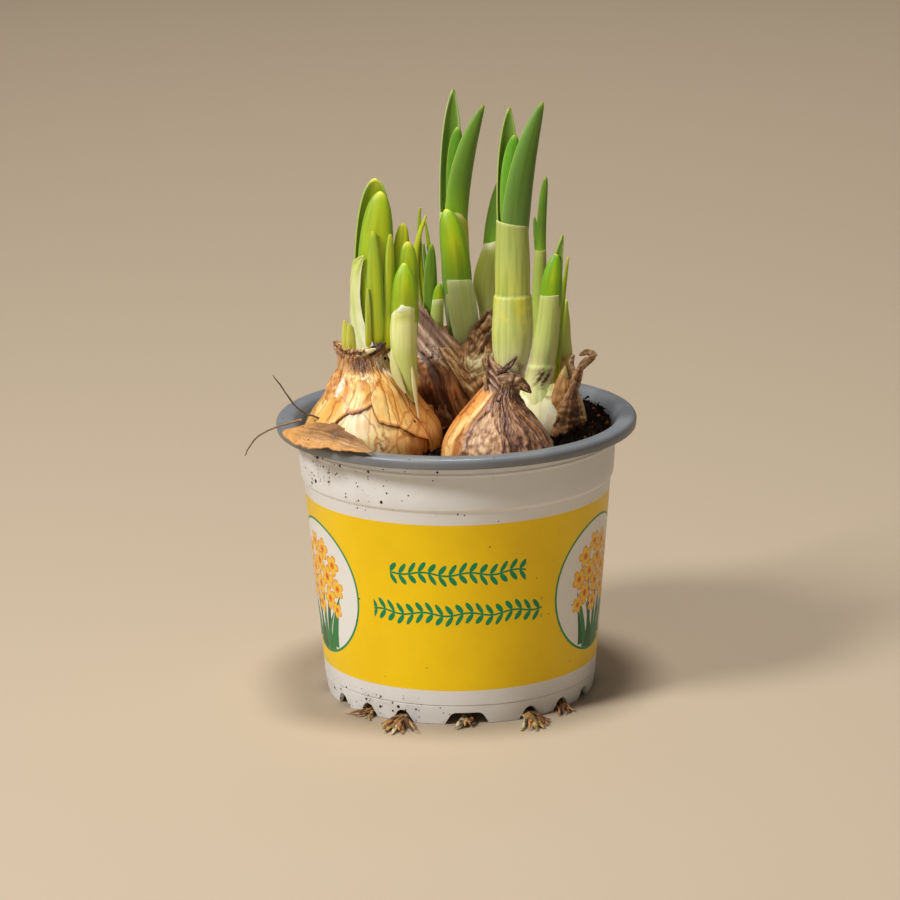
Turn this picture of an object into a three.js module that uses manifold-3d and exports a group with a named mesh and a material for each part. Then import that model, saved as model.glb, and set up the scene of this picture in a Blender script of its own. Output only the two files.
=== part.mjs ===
// A pot of sprouting dwarf daffodil bulbs: a 12 cm plastic pot, peat, four bulbs, their shoots, a loose husk
// and the roots that grow out under the pot. Millimetres, +Z up, origin on the pot's axis where it stands.

import * as THREE from 'three';
import { mergeVertices } from 'three/addons/utils/BufferGeometryUtils.js';
import Module from 'manifold-3d';

const wasm = await Module();
wasm.setup();

// Driving dimensions
const potHeight = 93.9;
const rimRadius = 60;
const rimInnerRadius = 53.6;
const baseRadius = 45.1;
const shoulderHeight = 74.2;
const shoulderRadius = 51.4;
const neckRadius = 53.2;
const floorUnderside = 5;
const floorTop = 6.3;
const notchDepth = 4.2;
const firstNotchAzimuth = 2.3;
const soilHeight = 86.4;
const soilSlope = 3.6;
const clearance = 0.3;
const potSides = 40;

// Azimuths are in degrees, from 0 at the front (-Y) to 90 at the right (+X)
function direction(azimuth) {
  const angle = THREE.MathUtils.degToRad(azimuth);
  return new THREE.Vector3(Math.sin(angle), -Math.cos(angle), 0);
}

function randomFrom(seed) {
  let state = seed;
  return () => {
    state = (state * 1664525 + 1013904223) % 4294967296;
    return state / 4294967296;
  };
}

// Solids

function volumeOf(points, corners) {
  let volume = 0;
  const [a, b, c] = [new THREE.Vector3(), new THREE.Vector3(), new THREE.Vector3()];
  for (let i = 0; i < corners.length; i += 3) {
    a.fromArray(points, corners[i] * 3);
    b.fromArray(points, corners[i + 1] * 3);
    c.fromArray(points, corners[i + 2] * 3);
    volume += a.dot(b.cross(c)) / 6;
  }
  return volume;
}

function toSolid(geometry) {
  const bare = geometry.clone();
  bare.deleteAttribute('normal');
  bare.deleteAttribute('uv');
  const merged = mergeVertices(bare, 1e-4);
  const points = merged.attributes.position.array;
  const all = merged.index.array;
  const corners = [];
  for (let i = 0; i < all.length; i += 3) {
    const [a, b, c] = [all[i], all[i + 1], all[i + 2]];
    if (a !== b && b !== c && c !== a) {
      corners.push(a, b, c);
    }
  }
  if (volumeOf(points, corners) < 0) {
    corners.reverse();
  }
  const mesh = new wasm.Mesh({
    numProp: 3,
    vertProperties: new Float32Array(points),
    triVerts: new Uint32Array(corners),
  });
  return new wasm.Manifold(mesh);
}

function joinSolids(solids) {
  return solids.reduce((sum, solid) => sum.add(solid));
}

function largestOf(solid) {
  const lumps = solid.decompose();
  return lumps.reduce((best, lump) => (lump.volume() > best.volume() ? lump : best));
}

// A piece is a solid with its room: the same shape with the clearance round it, which other pieces keep out of
function pieceOf(make) {
  return { solid: make(0), room: make(clearance) };
}

function joinPieces(pieces) {
  return {
    solid: joinSolids(pieces.map((piece) => piece.solid)),
    room: joinSolids(pieces.map((piece) => piece.room)),
  };
}

function makeRoom(piece, others) {
  for (const other of others) {
    piece.solid = piece.solid.subtract(other.room);
  }
  piece.solid = largestOf(piece.solid);
}

// Skin a stack of closed rings. A fan closes the ends of round rings, a strip those of bent blades.
function skin(rings, bladeEnds = false) {
  const count = rings[0].length;
  const positions = rings.flat().flatMap((point) => [point.x, point.y, point.z]);
  const corners = [];
  for (let i = 0; i + 1 < rings.length; i += 1) {
    for (let j = 0; j < count; j += 1) {
      const low = i * count + j;
      const lowNext = i * count + ((j + 1) % count);
      corners.push(low, lowNext, lowNext + count, low, lowNext + count, low + count);
    }
  }
  const lastStart = (rings.length - 1) * count;
  for (const [start, turned] of [[0, true], [lastStart, false]]) {
    const cap = [];
    if (bladeEnds) {
      for (let j = 0; j + 1 < count / 2; j += 1) {
        const across = count - 1 - j;
        cap.push(start + j, start + j + 1, start + across - 1, start + j, start + across - 1, start + across);
      }
    } else {
      const middle = positions.length / 3;
      const centre = new THREE.Vector3();
      for (let j = 0; j < count; j += 1) {
        centre.add(new THREE.Vector3().fromArray(positions, (start + j) * 3));
      }
      centre.divideScalar(count);
      positions.push(centre.x, centre.y, centre.z);
      for (let j = 0; j < count; j += 1) {
        cap.push(start + j, start + ((j + 1) % count), middle);
      }
    }
    corners.push(...(turned ? cap.reverse() : cap));
  }
  const geometry = new THREE.BufferGeometry();
  geometry.setAttribute('position', new THREE.Float32BufferAttribute(positions, 3));
  geometry.setIndex(corners);
  return toSolid(geometry);
}

// A round body that grows through levels [z, centreX, centreY, radiusX, radiusY]
function roundBody(levels, { sides = 12, relief = () => 0, lift = () => 0 } = {}) {
  return pieceOf((grow) => {
    const last = levels.length - 1;
    const rings = levels.map(([z, x, y, radiusX, radiusY], level) => {
      const endShift = level === 0 ? -grow : level === last ? grow : 0;
      return Array.from({ length: sides }, (_, side) => {
        const angle = (side / sides) * 2 * Math.PI;
        const extra = grow + relief(angle, level / last);
        return new THREE.Vector3(
          x + (radiusX + extra) * Math.cos(angle),
          y + (radiusY + extra) * Math.sin(angle),
          z + endShift + lift(angle, level / last),
        );
      });
    });
    return skin(rings);
  });
}

// A strap leaf or papery scale: a cupped blade along a curve from base to tip, its outer face turned to facing
function blade({
  base, bend, tip, half, facing = 0, out = null, cup = 1.2, thick = 1.1, waist = 1,
  taper = [2.3, 0.72], steps = 6, columns = 5, ragged = null,
}) {
  const spread = THREE.MathUtils.degToRad(80);
  const path = new THREE.QuadraticBezierCurve3(
    new THREE.Vector3(...base), new THREE.Vector3(...bend), new THREE.Vector3(...tip));
  const outward = out ? new THREE.Vector3(...out).normalize() : direction(facing);
  return pieceOf((grow) => {
    const rings = [];
    for (let step = 0; step <= steps; step += 1) {
      const t = 1 - (1 - step / steps) ** 1.25;
      const along = path.getTangent(t);
      const endShift = step === 0 ? -grow : step === steps ? grow : 0;
      const centre = path.getPoint(t).addScaledVector(along, endShift);
      const across = new THREE.Vector3().crossVectors(along, outward).normalize();
      const away = new THREE.Vector3().crossVectors(across, along);
      const swell = waist + (1 - waist) * Math.sin(Math.min(1, t / 0.45) * Math.PI / 2);
      const narrowing = (1 - t ** taper[0]) ** taper[1];
      const torn = ragged ? ragged(t) : 0;
      const width = Math.max(half * swell * narrowing + torn, 0.4);
      const depth = cup * Math.min(1, width / half);
      const thickness = Math.max(thick * (1 - 0.45 * t ** 3), 0.6);
      const edge = Math.min(1, cup / half + 0.3) * thickness;
      const ring = [];
      for (const inner of [false, true]) {
        for (let column = 0; column < columns; column += 1) {
          const order = inner ? columns - 1 - column : column;
          const angle = spread * (order / (columns - 1) * 2 - 1);
          const reach = inner ? Math.max(width - edge, 0.2) : width;
          const side = (reach + grow) * Math.sin(angle) / Math.sin(spread);
          const arch = depth * Math.cos(inner && grow > 0 ? spread : angle);
          const rise = arch + (inner ? -thickness - grow : grow);
          ring.push(centre.clone().addScaledVector(across, side).addScaledVector(away, rise));
        }
      }
      rings.push(ring);
    }
    return skin(rings, true);
  });
}

// A round strand along points, such as a root
function strand(points, radius, { sides = 6, steps = 7 } = {}) {
  const ends = points.map((point) => new THREE.Vector3(...point));
  return pieceOf((grow) => {
    const first = ends[0].clone().add(ends[0].clone().sub(ends[1]).setLength(grow + 1e-3));
    const path = new THREE.CatmullRomCurve3([first, ...ends.slice(1)]);
    const outline = Array.from({ length: sides }, (_, side) => {
      const angle = (side / sides) * 2 * Math.PI;
      return new THREE.Vector2((radius + grow) * Math.cos(angle), (radius + grow) * Math.sin(angle));
    });
    const shape = new THREE.Shape(outline);
    return toSolid(new THREE.ExtrudeGeometry(shape, { steps, extrudePath: path }));
  });
}

// Pot

const outerWall = [
  [baseRadius, 0.4], [45.7, 7], [shoulderRadius, shoulderHeight], [52.2, shoulderHeight + 0.7],
  [neckRadius, 90.7],
];
const rolledRim = [
  [54.1, 91.6], [58.7, 91.4], [59.3, 90.2], [rimRadius, 90.9], [rimRadius, 92.6], [58.7, potHeight],
  [55, 93.7], [rimInnerRadius, 93], [52.3, 91.2],
];
const innerWall = [
  [51.1, shoulderHeight + 1], [50.3, shoulderHeight - 0.4], [44.6, 8], [43.2, floorTop],
];
const footRing = [[43.4, floorUnderside], [43.9, 0], [44.8, 0]];
const centrePad = [[0, 0], [9, 0], [10.5, floorUnderside]];

function innerRadiusAt(z) {
  const wall = [...innerWall].reverse();
  wall.push([52.3, 91.2], [rimInnerRadius, 93]);
  const upper = wall.findIndex(([, height]) => height >= z);
  const [lowRadius, lowHeight] = wall[Math.max(upper - 1, 0)];
  const [highRadius, highHeight] = wall[upper];
  return THREE.MathUtils.mapLinear(z, lowHeight, highHeight, lowRadius, highRadius);
}

function makePot() {
  const profile = [...centrePad, ...footRing, ...outerWall, ...rolledRim, ...innerWall, [0, floorTop]];
  const points = profile.map(([radius, z]) => new THREE.Vector2(radius, z));
  const lathe = new THREE.LatheGeometry(points, potSides);
  lathe.rotateX(Math.PI / 2);
  let solid = toSolid(lathe);
  for (const { azimuth, width } of notches()) {
    solid = solid.subtract(notchCutter(azimuth, width));
    solid = solid.subtract(drainHole(azimuth));
  }
  return { solid };
}

// Four wide notches, with three narrow ones between each two
function notches() {
  const all = [];
  for (let quarter = 0; quarter < 4; quarter += 1) {
    const start = firstNotchAzimuth + quarter * 90;
    all.push({ azimuth: start, width: 13.2 });
    for (const step of [27.6, 45, 62.4]) {
      all.push({ azimuth: start + step, width: 6.2 });
    }
  }
  return all;
}

function placeAt(geometry, azimuth, radius, z) {
  const outward = direction(azimuth);
  const up = new THREE.Vector3(0, 0, 1);
  const across = new THREE.Vector3().crossVectors(up, outward);
  geometry.applyMatrix4(new THREE.Matrix4().makeBasis(across, up, outward));
  geometry.translate(outward.x * radius, outward.y * radius, z);
  return geometry;
}

function notchCutter(azimuth, width) {
  const slope = 1.7;
  const shape = new THREE.Shape();
  shape.moveTo(-width / 2 - 0.4, -1);
  shape.lineTo(width / 2 + 0.4, -1);
  shape.lineTo(width / 2 - slope, notchDepth);
  shape.lineTo(-width / 2 + slope, notchDepth);
  const cutter = new THREE.ExtrudeGeometry(shape, { depth: 7, bevelEnabled: false });
  return toSolid(placeAt(cutter, azimuth, baseRadius - 4, 0));
}

const drainRadius = 38.2;

function drainHole(azimuth) {
  const hole = new THREE.CylinderGeometry(3, 3, 4, 6);
  hole.rotateX(Math.PI / 2);
  const place = direction(azimuth).multiplyScalar(drainRadius);
  hole.translate(place.x, place.y, (floorUnderside + floorTop) / 2);
  return toSolid(hole);
}

// Soil

function soilTop(x, y) {
  const lumps = 0.55 * Math.sin(x * 0.55 + 1.3) * Math.cos(y * 0.62)
    + 0.4 * Math.sin(x * 1.3 - y * 0.9 + 0.4);
  return soilHeight + soilSlope * (0.7 * x + 0.5 * y) / 50 + lumps;
}

function makeSoil() {
  const sides = 28;
  const wallGap = clearance + 0.3;
  const sideHeights = [8.2, shoulderHeight - 0.6, shoulderHeight + 1.4];
  const rings = [ringOf(() => [43.2 - wallGap, floorTop + 0.4])];
  for (const z of sideHeights) {
    rings.push(ringOf(() => [innerRadiusAt(z) - wallGap, z]));
  }
  for (const share of [1, 0.9, 0.78, 0.6, 0.36]) {
    rings.push(ringOf((angle) => {
      const radius = (innerRadiusAt(soilHeight) - wallGap) * share;
      return [radius, soilTop(radius * Math.cos(angle), radius * Math.sin(angle))];
    }));
  }
  function ringOf(place) {
    return Array.from({ length: sides }, (_, side) => {
      const angle = (side / sides) * 2 * Math.PI;
      const [radius, z] = place(angle);
      return new THREE.Vector3(radius * Math.cos(angle), radius * Math.sin(angle), z);
    });
  }
  return { solid: skin(rings) };
}

// Bulbs

// Meridian folds of the papery skin, deepest halfway up, and a torn edge round the neck
function tunic(seed, fold, tear) {
  const random = randomFrom(seed);
  const waves = [3, 5, 8].map((count) => ({ count, phase: random() * 6.28, share: 0.4 + random() * 0.6 }));
  const wave = (angle) => waves.reduce(
    (sum, { count, phase, share }) => sum + share * Math.sin(count * angle + phase), 0);
  return {
    sides: 20,
    relief: (angle, height) => fold * wave(angle) * Math.sin(Math.min(1, height * 1.15) * Math.PI) ** 0.7,
    lift: (angle, height) => (height > 0.7 && height < 0.93 ? tear * wave(angle + 1) : 0),
  };
}

const leftBulbLevels = [
  [64, -27.4, -6, 5, 5], [68, -27.4, -6, 14.4, 13.8], [76, -27.5, -6, 20.6, 19.6],
  [88, -27.7, -6, 22.9, 21.6], [92, -27.9, -6, 22.3, 21.2], [96.2, -28.2, -6, 20, 19.5],
  [100.8, -28.3, -6.2, 16.6, 17], [105.9, -28, -6.5, 13.6, 14.4], [111, -29.2, -7, 10.5, 11.4],
  [115, -30.2, -7.6, 8.5, 9.2], [118, -30.5, -8, 8.6, 8.6], [120.6, -30.6, -8, 9.3, 9],
  [119.4, -30.4, -8, 7.7, 7.4], [116.6, -30.3, -8, 6.9, 6.6],
];
const leftBulb = joinPieces([
  roundBody(leftBulbLevels, tunic(11, 0.28, 0.35)),
  blade({
    base: [-43.6, -9, 101], bend: [-42.6, -9.5, 110], tip: [-38, -10, 119], half: 2.2, facing: -55,
    cup: 0.5, thick: 0.9, taper: [2, 0.7], steps: 5,
  }),
]);

const frontBulbLevels = [
  [66, 13, -28.3, 5, 5], [69, 13, -28.4, 11.5, 11], [78, 13.2, -28.6, 17.4, 16.3],
  [88, 13.5, -28.8, 19.3, 18], [92, 13.4, -28.8, 18.9, 17.6], [97.9, 12.5, -28.4, 16.6, 15.6],
  [102.4, 12.2, -28.2, 14, 13.2], [107.4, 12.2, -28, 10.4, 10.4], [111, 13, -27.6, 8.1, 8.2],
  [114.5, 14, -27.3, 7.2, 7], [118.3, 15, -27.2, 7.4, 7], [116.6, 15, -27.2, 5.8, 5.6], [115, 15, -27.2, 3.4, 3.4],
];
const frontBulb = roundBody(frontBulbLevels, tunic(23, 0.38, 0.5));

const backBulbLevels = [
  [66, 0.5, 27, 5, 5], [69, 0.5, 27, 12, 12], [78, 0.8, 27, 18, 17.8],
  [90, 1, 27, 19.6, 19], [96, 1, 26.6, 18.4, 17.6], [102, 1, 26.2, 16, 15.4], [108, 1.3, 25.8, 13.8, 13],
  [113, 2, 25.4, 12.2, 11.2], [117.5, 3, 25.4, 10.8, 9.8], [115.6, 3, 25.5, 9, 8.2], [114.2, 3, 25.5, 6, 6],
];
const backBulb = joinPieces([
  roundBody(backBulbLevels, tunic(37, 0.3, 0.45)),
  blade({
    base: [-3.4, 10.6, 89], bend: [-8, 11.5, 108], tip: [-12.4, 19.5, 128], half: 10.4, facing: -20,
    cup: 2.6, thick: 1, taper: [1.25, 0.9],
  }),
  blade({
    base: [8, 12.6, 93], bend: [10, 11.4, 110], tip: [15, 17, 125], half: 7.6, facing: 15, cup: 2,
    thick: 1, taper: [2.4, 0.8], ragged: (t) => 0.5 * Math.sin(t * 19),
  }),
]);

const rightBulbLevels = [
  [67, 28.5, 3, 5, 5], [71, 28.5, 3, 10.8, 10.8], [80, 28.6, 3, 14.4, 14.2],
  [91, 28.8, 3, 15, 14.4], [97, 28.6, 3, 14.2, 13], [102, 28.8, 3, 12.4, 11.2], [106, 29.5, 2.5, 10.6, 9.4],
  [109.5, 30, 2, 9.6, 8], [108, 30, 2, 7.6, 6.2], [107, 30, 2, 4, 4],
];
const rightFlap = blade({
  base: [34.2, -7.2, 84], bend: [39.8, -11, 97], tip: [42.2, -6, 108], half: 7.4, facing: 26, cup: 1.8,
  thick: 1, taper: [1.15, 1.05],
});
const rightBulb = joinPieces([
  roundBody(rightBulbLevels, tunic(53, 0.2, 0.2)),
  rightFlap,
  strand([[40.4, -8.4, 101.5], [42.2, -6, 107.4], [44.8, -4.8, 110.8], [46.2, -4.4, 112.6]], 0.8, { steps: 5 }),
]);

// A bulb's plain socket in the soil: its lower half with few sides, clear of its folds
function socketOf(levels) {
  const sides = 14;
  const foldRoom = 1;
  const lower = levels.filter(([z]) => z < 95);
  return roundBody(lower.map(([z, x, y, radiusX, radiusY], level) => [
    level === 0 ? z - foldRoom : z, x, y, radiusX + foldRoom, radiusY + foldRoom,
  ]), { sides });
}

// Shoots

// An elliptical foot that holds a shoot's leaves together inside its sheath or its bulb
function peg([x, y], fromZ, toZ, radiusX, radiusY) {
  return roundBody([[fromZ, x, y, radiusX, radiusY], [toZ, x, y, radiusX, radiusY]], { sides: 8 });
}

const sheathWall = 1;

// Leaves that stand in the open top of a sheath, which ends at the level [z, x, y, radiusX, radiusY]
function leavesOn([z, x, y, radiusX, radiusY], leaves) {
  const foot = peg([x, y], z - 6, z + 1.6, radiusX - sheathWall, radiusY - sheathWall);
  return joinPieces([foot, ...leaves.map(blade)]);
}

const sheathTops = {
  leftFront: [134.4, -16.3, -14, 4.25, 3.5],
  backTall: [157.2, 0.2, 26, 4.6, 3.6],
  backFront: [135.6, 1.2, 20, 4.7, 3.8],
  backLeaning: [146, 13.5, 31, 3.3, 2.8],
  backSmall: [128.6, -5.5, 19, 1.9, 1.8],
  front: [163.6, 18.95, -27, 5.15, 4],
  rightFront: [134.8, 31.65, -4, 3.5, 3],
  rightRear: [146.8, 28.9, 10, 1.9, 1.8],
};

const leafGap = clearance;

function above([z]) {
  return z + leafGap;
}

const leftTallLeaves = joinPieces([
  peg([-27.4, -9], 111, 119, 5.2, 4.6),
  ...[
    {
      base: [-27.2, -6.4, 117.6], bend: [-26.6, -5.6, 150], tip: [-25.2, -6, 174.7], half: 6.35, facing: 180,
      cup: 3, waist: 0.72, taper: [4, 0.5], thick: 1.4,
    },
    {
      base: [-26.8, -8, 117.6], bend: [-26.2, -8.6, 150], tip: [-23.6, -7.8, 170.5], half: 5.8, facing: 0,
      cup: 3.2, waist: 0.72, taper: [4, 0.5], thick: 1.4,
    },
    {
      base: [-25.9, -12, 117.4], bend: [-25.8, -12.8, 138], tip: [-25.7, -12.6, 158.4], half: 2.5, facing: 0,
      cup: 1.1, waist: 0.7, taper: [3.5, 0.6], thick: 1.4,
    },
    {
      base: [-22.9, -9.6, 121.3], bend: [-22.2, -10.6, 138], tip: [-21.1, -10.6, 157.3], half: 1.3, facing: 20,
      cup: 0.6, taper: [3.5, 0.6], thick: 1.2, steps: 5, columns: 3,
    },
    {
      base: [-28.6, -12, 117.4], bend: [-28.9, -13.2, 130], tip: [-28.5, -13.6, 139.9], half: 0.95, facing: 0,
      cup: 0.4, taper: [3, 0.6], thick: 1, steps: 5, columns: 3,
    },
  ].map(blade),
]);

const leftTallSheath = blade({
  base: [-32, -9.8, 115], bend: [-36, -10.4, 134], tip: [-28.2, -9.6, 150.8], half: 4.6, facing: -42, cup: 2.2,
  thick: 0.9, waist: 0.8, taper: [2, 0.9],
});

const leftSideBuds = joinPieces([
  blade({
    base: [-35.4, -11.2, 114], bend: [-36, -11.6, 122], tip: [-36.3, -12, 129], half: 1.5, facing: -20,
    cup: 0.7, taper: [2.4, 0.8], thick: 1.5, steps: 4, columns: 3,
  }),
  blade({
    base: [-34.4, -11.4, 114], bend: [-34, -12.2, 121], tip: [-34.7, -12.4, 127.8], half: 1.6, facing: 10,
    cup: 0.7, taper: [2.4, 0.8], thick: 1.5, steps: 4, columns: 3,
  }),
]);

const leftFrontSheath = roundBody([
  [97, -14.6, -13, 1.8, 1.8], [103, -14.8, -13.6, 2.1, 2.1], [107, -15.1, -14, 2.4, 2.3],
  [112, -16, -14.2, 3.4, 3], [119.2, -16.85, -14.2, 4.25, 3.6], [127.6, -16.85, -14, 4.45, 3.7],
  sheathTops.leftFront,
]);
const leftFrontLeaf = leavesOn(sheathTops.leftFront, [
  {
    base: [-16.3, -14, above(sheathTops.leftFront)], bend: [-16, -14.2, 141], tip: [-15.9, -14, 147.8], half: 4.2,
    facing: 0, cup: 3.1, taper: [1.6, 0.8], thick: 1.8, steps: 5,
  },
  {
    base: [-16.3, -14, above(sheathTops.leftFront)], bend: [-16, -13.8, 141], tip: [-15.9, -13.8, 147.2], half: 4.2,
    facing: 180, cup: 3.1, taper: [1.6, 0.8], thick: 1.8, steps: 4,
  },
]);

const leftRearLeaves = joinPieces([
  peg([-17.4, -7.6], 100, 109, 2.4, 1.9),
  blade({
    base: [-17.2, -8, 105], bend: [-16, -8.4, 135], tip: [-14.1, -8.4, 153.7], half: 3.7, facing: 0, cup: 1.5,
    waist: 0.55, taper: [3.4, 0.55], thick: 1.2,
  }),
  blade({
    base: [-17.6, -7, 105], bend: [-19, -6.4, 138], tip: [-16.2, -5.8, 157.9], half: 2.2, facing: 0, cup: 0.7,
    taper: [4, 0.5], thick: 1.1,
  }),
]);

const backTallSheath = roundBody([
  [106, 2, 26, 3.4, 3], [113, 1.8, 26, 3.9, 3.4], [125, 1.3, 26, 4.7, 3.9], [140, 0.6, 26, 4.9, 3.9],
  sheathTops.backTall,
]);
const backTallLeaves = leavesOn(sheathTops.backTall, [
  {
    base: [-0.2, 26.6, above(sheathTops.backTall)], bend: [-0.6, 27.4, 180], tip: [0.8, 26.8, 198.6], half: 4.1,
    facing: 180, cup: 2.6,
  },
  {
    base: [0.8, 25.8, above(sheathTops.backTall)], bend: [0.3, 25.4, 174], tip: [2, 25.2, 185.8], half: 2.3,
    facing: 0, cup: 1, taper: [3, 0.65], steps: 6,
  },
  {
    base: [0.9, 25, above(sheathTops.backTall)], bend: [2.2, 23.6, 177], tip: [10.9, 23.2, 193.5], half: 3.8,
    facing: 10, cup: 2.2, taper: [2.6, 0.8],
  },
]);

const backFrontSheath = roundBody([
  [104, 4.6, 21.4, 2.8, 2.6], [112, 4.2, 20.8, 3.9, 3.4], [120, 3.4, 20.2, 4.8, 3.9], [128.2, 2.25, 20, 5, 4],
  sheathTops.backFront,
]);
const backFrontLeaf = leavesOn(sheathTops.backFront, [
  {
    base: [1.2, 20, above(sheathTops.backFront)], bend: [0.6, 19.8, 150], tip: [-2.3, 20, 158.7], half: 4.65,
    facing: 0, cup: 3.4, taper: [3, 0.55], thick: 1.8,
  },
  {
    base: [1.2, 20, above(sheathTops.backFront)], bend: [0.6, 20.4, 149], tip: [-2.1, 20.4, 157], half: 4.6,
    facing: 180, cup: 3.2, taper: [3, 0.55], thick: 1.8, steps: 5,
  },
]);

const backLeaningSheath = roundBody([
  [108, 11, 29, 2.4, 2.4], [121.5, 11.3, 30, 3, 2.8], [132, 10.8, 31, 4.3, 3.4], sheathTops.backLeaning,
]);
const backLeaningLeaf = leavesOn(sheathTops.backLeaning, [
  {
    base: [13.5, 31, above(sheathTops.backLeaning)], bend: [14.4, 31, 158], tip: [17, 31, 169], half: 3.2,
    facing: 0, cup: 2, taper: [2, 0.8], thick: 1.8, steps: 6,
  },
]);

const backSmallSheath = roundBody([
  [109, -4.6, 20.8, 1.6, 1.6], [117.5, -5.6, 19.6, 1.9, 1.8], [121.7, -6, 19, 2.25, 2], sheathTops.backSmall,
], { sides: 10 });
const backSmallLeaf = leavesOn(sheathTops.backSmall, [
  {
    base: [-5.5, 19.2, above(sheathTops.backSmall)], bend: [-5.4, 19.1, 131.6], tip: [-4.8, 19, 134], half: 1.8,
    facing: 0, cup: 1.2, taper: [2, 0.8], thick: 1.6, steps: 5,
  },
]);

const backThinLeaves = joinPieces([
  peg([-7.4, 24.2], 109, 116.4, 2, 1.9),
  ...[
    {
      base: [-7.7, 22.8, 114.8], bend: [-8.6, 21.8, 132], tip: [-7.2, 21.4, 147.1], half: 2, facing: 0, cup: 0.9,
      taper: [2.6, 0.8],
    },
    {
      base: [-8.2, 24.4, 114.8], bend: [-17.5, 24.6, 138], tip: [-9, 24.2, 156.3], half: 1.05, facing: -10, cup: 0.5,
      taper: [3, 0.7],
    },
    {
      base: [-8, 25, 114.8], bend: [-12.6, 25.4, 140], tip: [-11, 25, 158.9], half: 0.8, facing: 0, cup: 0.4,
      taper: [3, 0.7],
    },
    {
      base: [-7, 24.6, 114.8], bend: [-6.6, 24.6, 136], tip: [-9.3, 24.4, 154.2], half: 0.8, facing: 0, cup: 0.4,
      taper: [3, 0.7],
    },
    {
      base: [-7.6, 23.6, 114.8], bend: [-8.6, 23.4, 132], tip: [-10.1, 23.4, 147], half: 0.8, facing: 0, cup: 0.4,
      taper: [3, 0.7],
    },
  ].map((leaf) => blade({ ...leaf, thick: 1, steps: 5, columns: 3 })),
]);

const frontSheath = roundBody([
  [104, 16, -27.5, 4, 3.6], [112, 17, -27.4, 4.8, 4.2], [116.7, 17.8, -27.3, 5.4, 4.6],
  [128, 18.6, -27.2, 6.7, 5.4], [139.6, 18.8, -27.1, 6.1, 5], [140.3, 18.8, -27.1, 5.75, 4.7],
  [150, 18.85, -27, 5.7, 4.6], sheathTops.front,
]);
const frontLeaves = leavesOn(sheathTops.front, [
  {
    base: [18.2, -26.4, above(sheathTops.front)], bend: [17.4, -25.8, 184], tip: [18.5, -25.6, 200.9], half: 3.9,
    facing: 180, cup: 2.6,
  },
  {
    base: [19, -27.2, above(sheathTops.front)], bend: [18.4, -27.6, 178], tip: [19.8, -27, 192.1], half: 2.8,
    facing: 0, cup: 1.1, taper: [3, 0.65], steps: 6,
  },
  {
    base: [20.1, -27.6, above(sheathTops.front)], bend: [20.6, -29.4, 184], tip: [29.2, -28.6, 202.9], half: 4.2,
    facing: 8, cup: 2.8,
  },
]);

const rightFrontSheath = roundBody([
  [98, 27, -1.6, 3, 2.8], [104.6, 27.6, -2.8, 4.4, 3.8], [110.8, 28.6, -3.6, 4.6, 4], [111.5, 28.7, -3.7, 4.2, 3.6],
  [117.5, 29.65, -4, 4.25, 3.6], [126.2, 30.9, -4, 3.8, 3.3], sheathTops.rightFront,
]);
const rightFrontLeaves = leavesOn(sheathTops.rightFront, [
  {
    base: [31.65, -4, above(sheathTops.rightFront)], bend: [32.2, -4.2, 141.4], tip: [33.9, -4, 148.1], half: 3.45,
    facing: 0, cup: 2.6, taper: [1.5, 0.9], thick: 1.7, steps: 6,
  },
  {
    base: [32.6, -3.3, above(sheathTops.rightFront)], bend: [33.6, -2.8, 144], tip: [35.8, -2.4, 154.4], half: 2.1,
    facing: 180, cup: 1.3, taper: [2, 0.8], thick: 1.2, steps: 6,
  },
]);

const rightSideShoot = roundBody([
  [98, 34.8, 4, 2.6, 2.6], [105.3, 35.6, 4.6, 3.3, 3], [112, 35.8, 5.2, 3.3, 3], [117.6, 35.7, 5.3, 2.9, 2.7],
  [124, 36.1, 5.4, 2.2, 2.1], [128, 36.5, 5.4, 1.3, 1.3], [131.2, 37.2, 5.4, 0.45, 0.45],
]);
const rightThinLeaf = blade({
  base: [33.4, 0.9, 102], bend: [34.4, 0.9, 125], tip: [37.8, 1.3, 146.1], half: 0.9, facing: 0, cup: 0.4,
  taper: [3, 0.7], thick: 1, columns: 3,
});
const rightRearSheath = roundBody([
  [98, 29.5, 7.4, 2, 2], [110, 29, 8.6, 2.5, 2.3], [124.5, 28.3, 9.6, 2.6, 2.3], [130, 28.3, 10, 2.5, 2.2],
  sheathTops.rightRear,
]);
const rightRearLeaves = leavesOn(sheathTops.rightRear, [
  {
    base: [29.2, 9.8, above(sheathTops.rightRear)], bend: [29, 9.9, 160], tip: [30.9, 10, 171.4], half: 1.4,
    facing: 0, cup: 0.8, taper: [3.5, 0.5], thick: 1.2, steps: 7,
  },
  {
    base: [28.2, 10.3, above(sheathTops.rightRear)], bend: [27.6, 10.3, 152], tip: [26.9, 10.2, 157.9], half: 1.1,
    facing: -20, cup: 0.5, thick: 1, steps: 5,
  },
]);

// Loose husk and hair roots at the front left of the rim

const looseHusk = blade({
  base: [-56.2, -26, 94.8], bend: [-43.6, -40.6, 96.8], tip: [-27.6, -53.8, 94.8], half: 8.2,
  out: [-0.2, -0.3, 0.93], cup: 0.9, thick: 0.9, waist: 0.3, taper: [2.6, 0.9], steps: 7,
  ragged: (t) => 0.6 * Math.sin(t * 21) * Math.sin(t * Math.PI),
});
const upperHairRoot = strand(
  [[-42.6, -14.6, 95.8], [-46.6, -15.6, 97.6], [-51.4, -16, 100], [-56.1, -16, 106.2], [-60.1, -16, 112]],
  0.4, { sides: 4, steps: 8 });
const lowerHairRoot = strand(
  [[-50.5, -21.2, 98], [-54.5, -21.6, 97.2], [-59.4, -22.6, 95.8], [-66, -24.4, 92.6], [-69.4, -25.6, 87.1]],
  0.4, { sides: 4, steps: 8 });

// Roots under the pot: each tuft comes down through a drainage hole as one bundle and out through the
// notch beside it

const rootTopHeight = 14;

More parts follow.
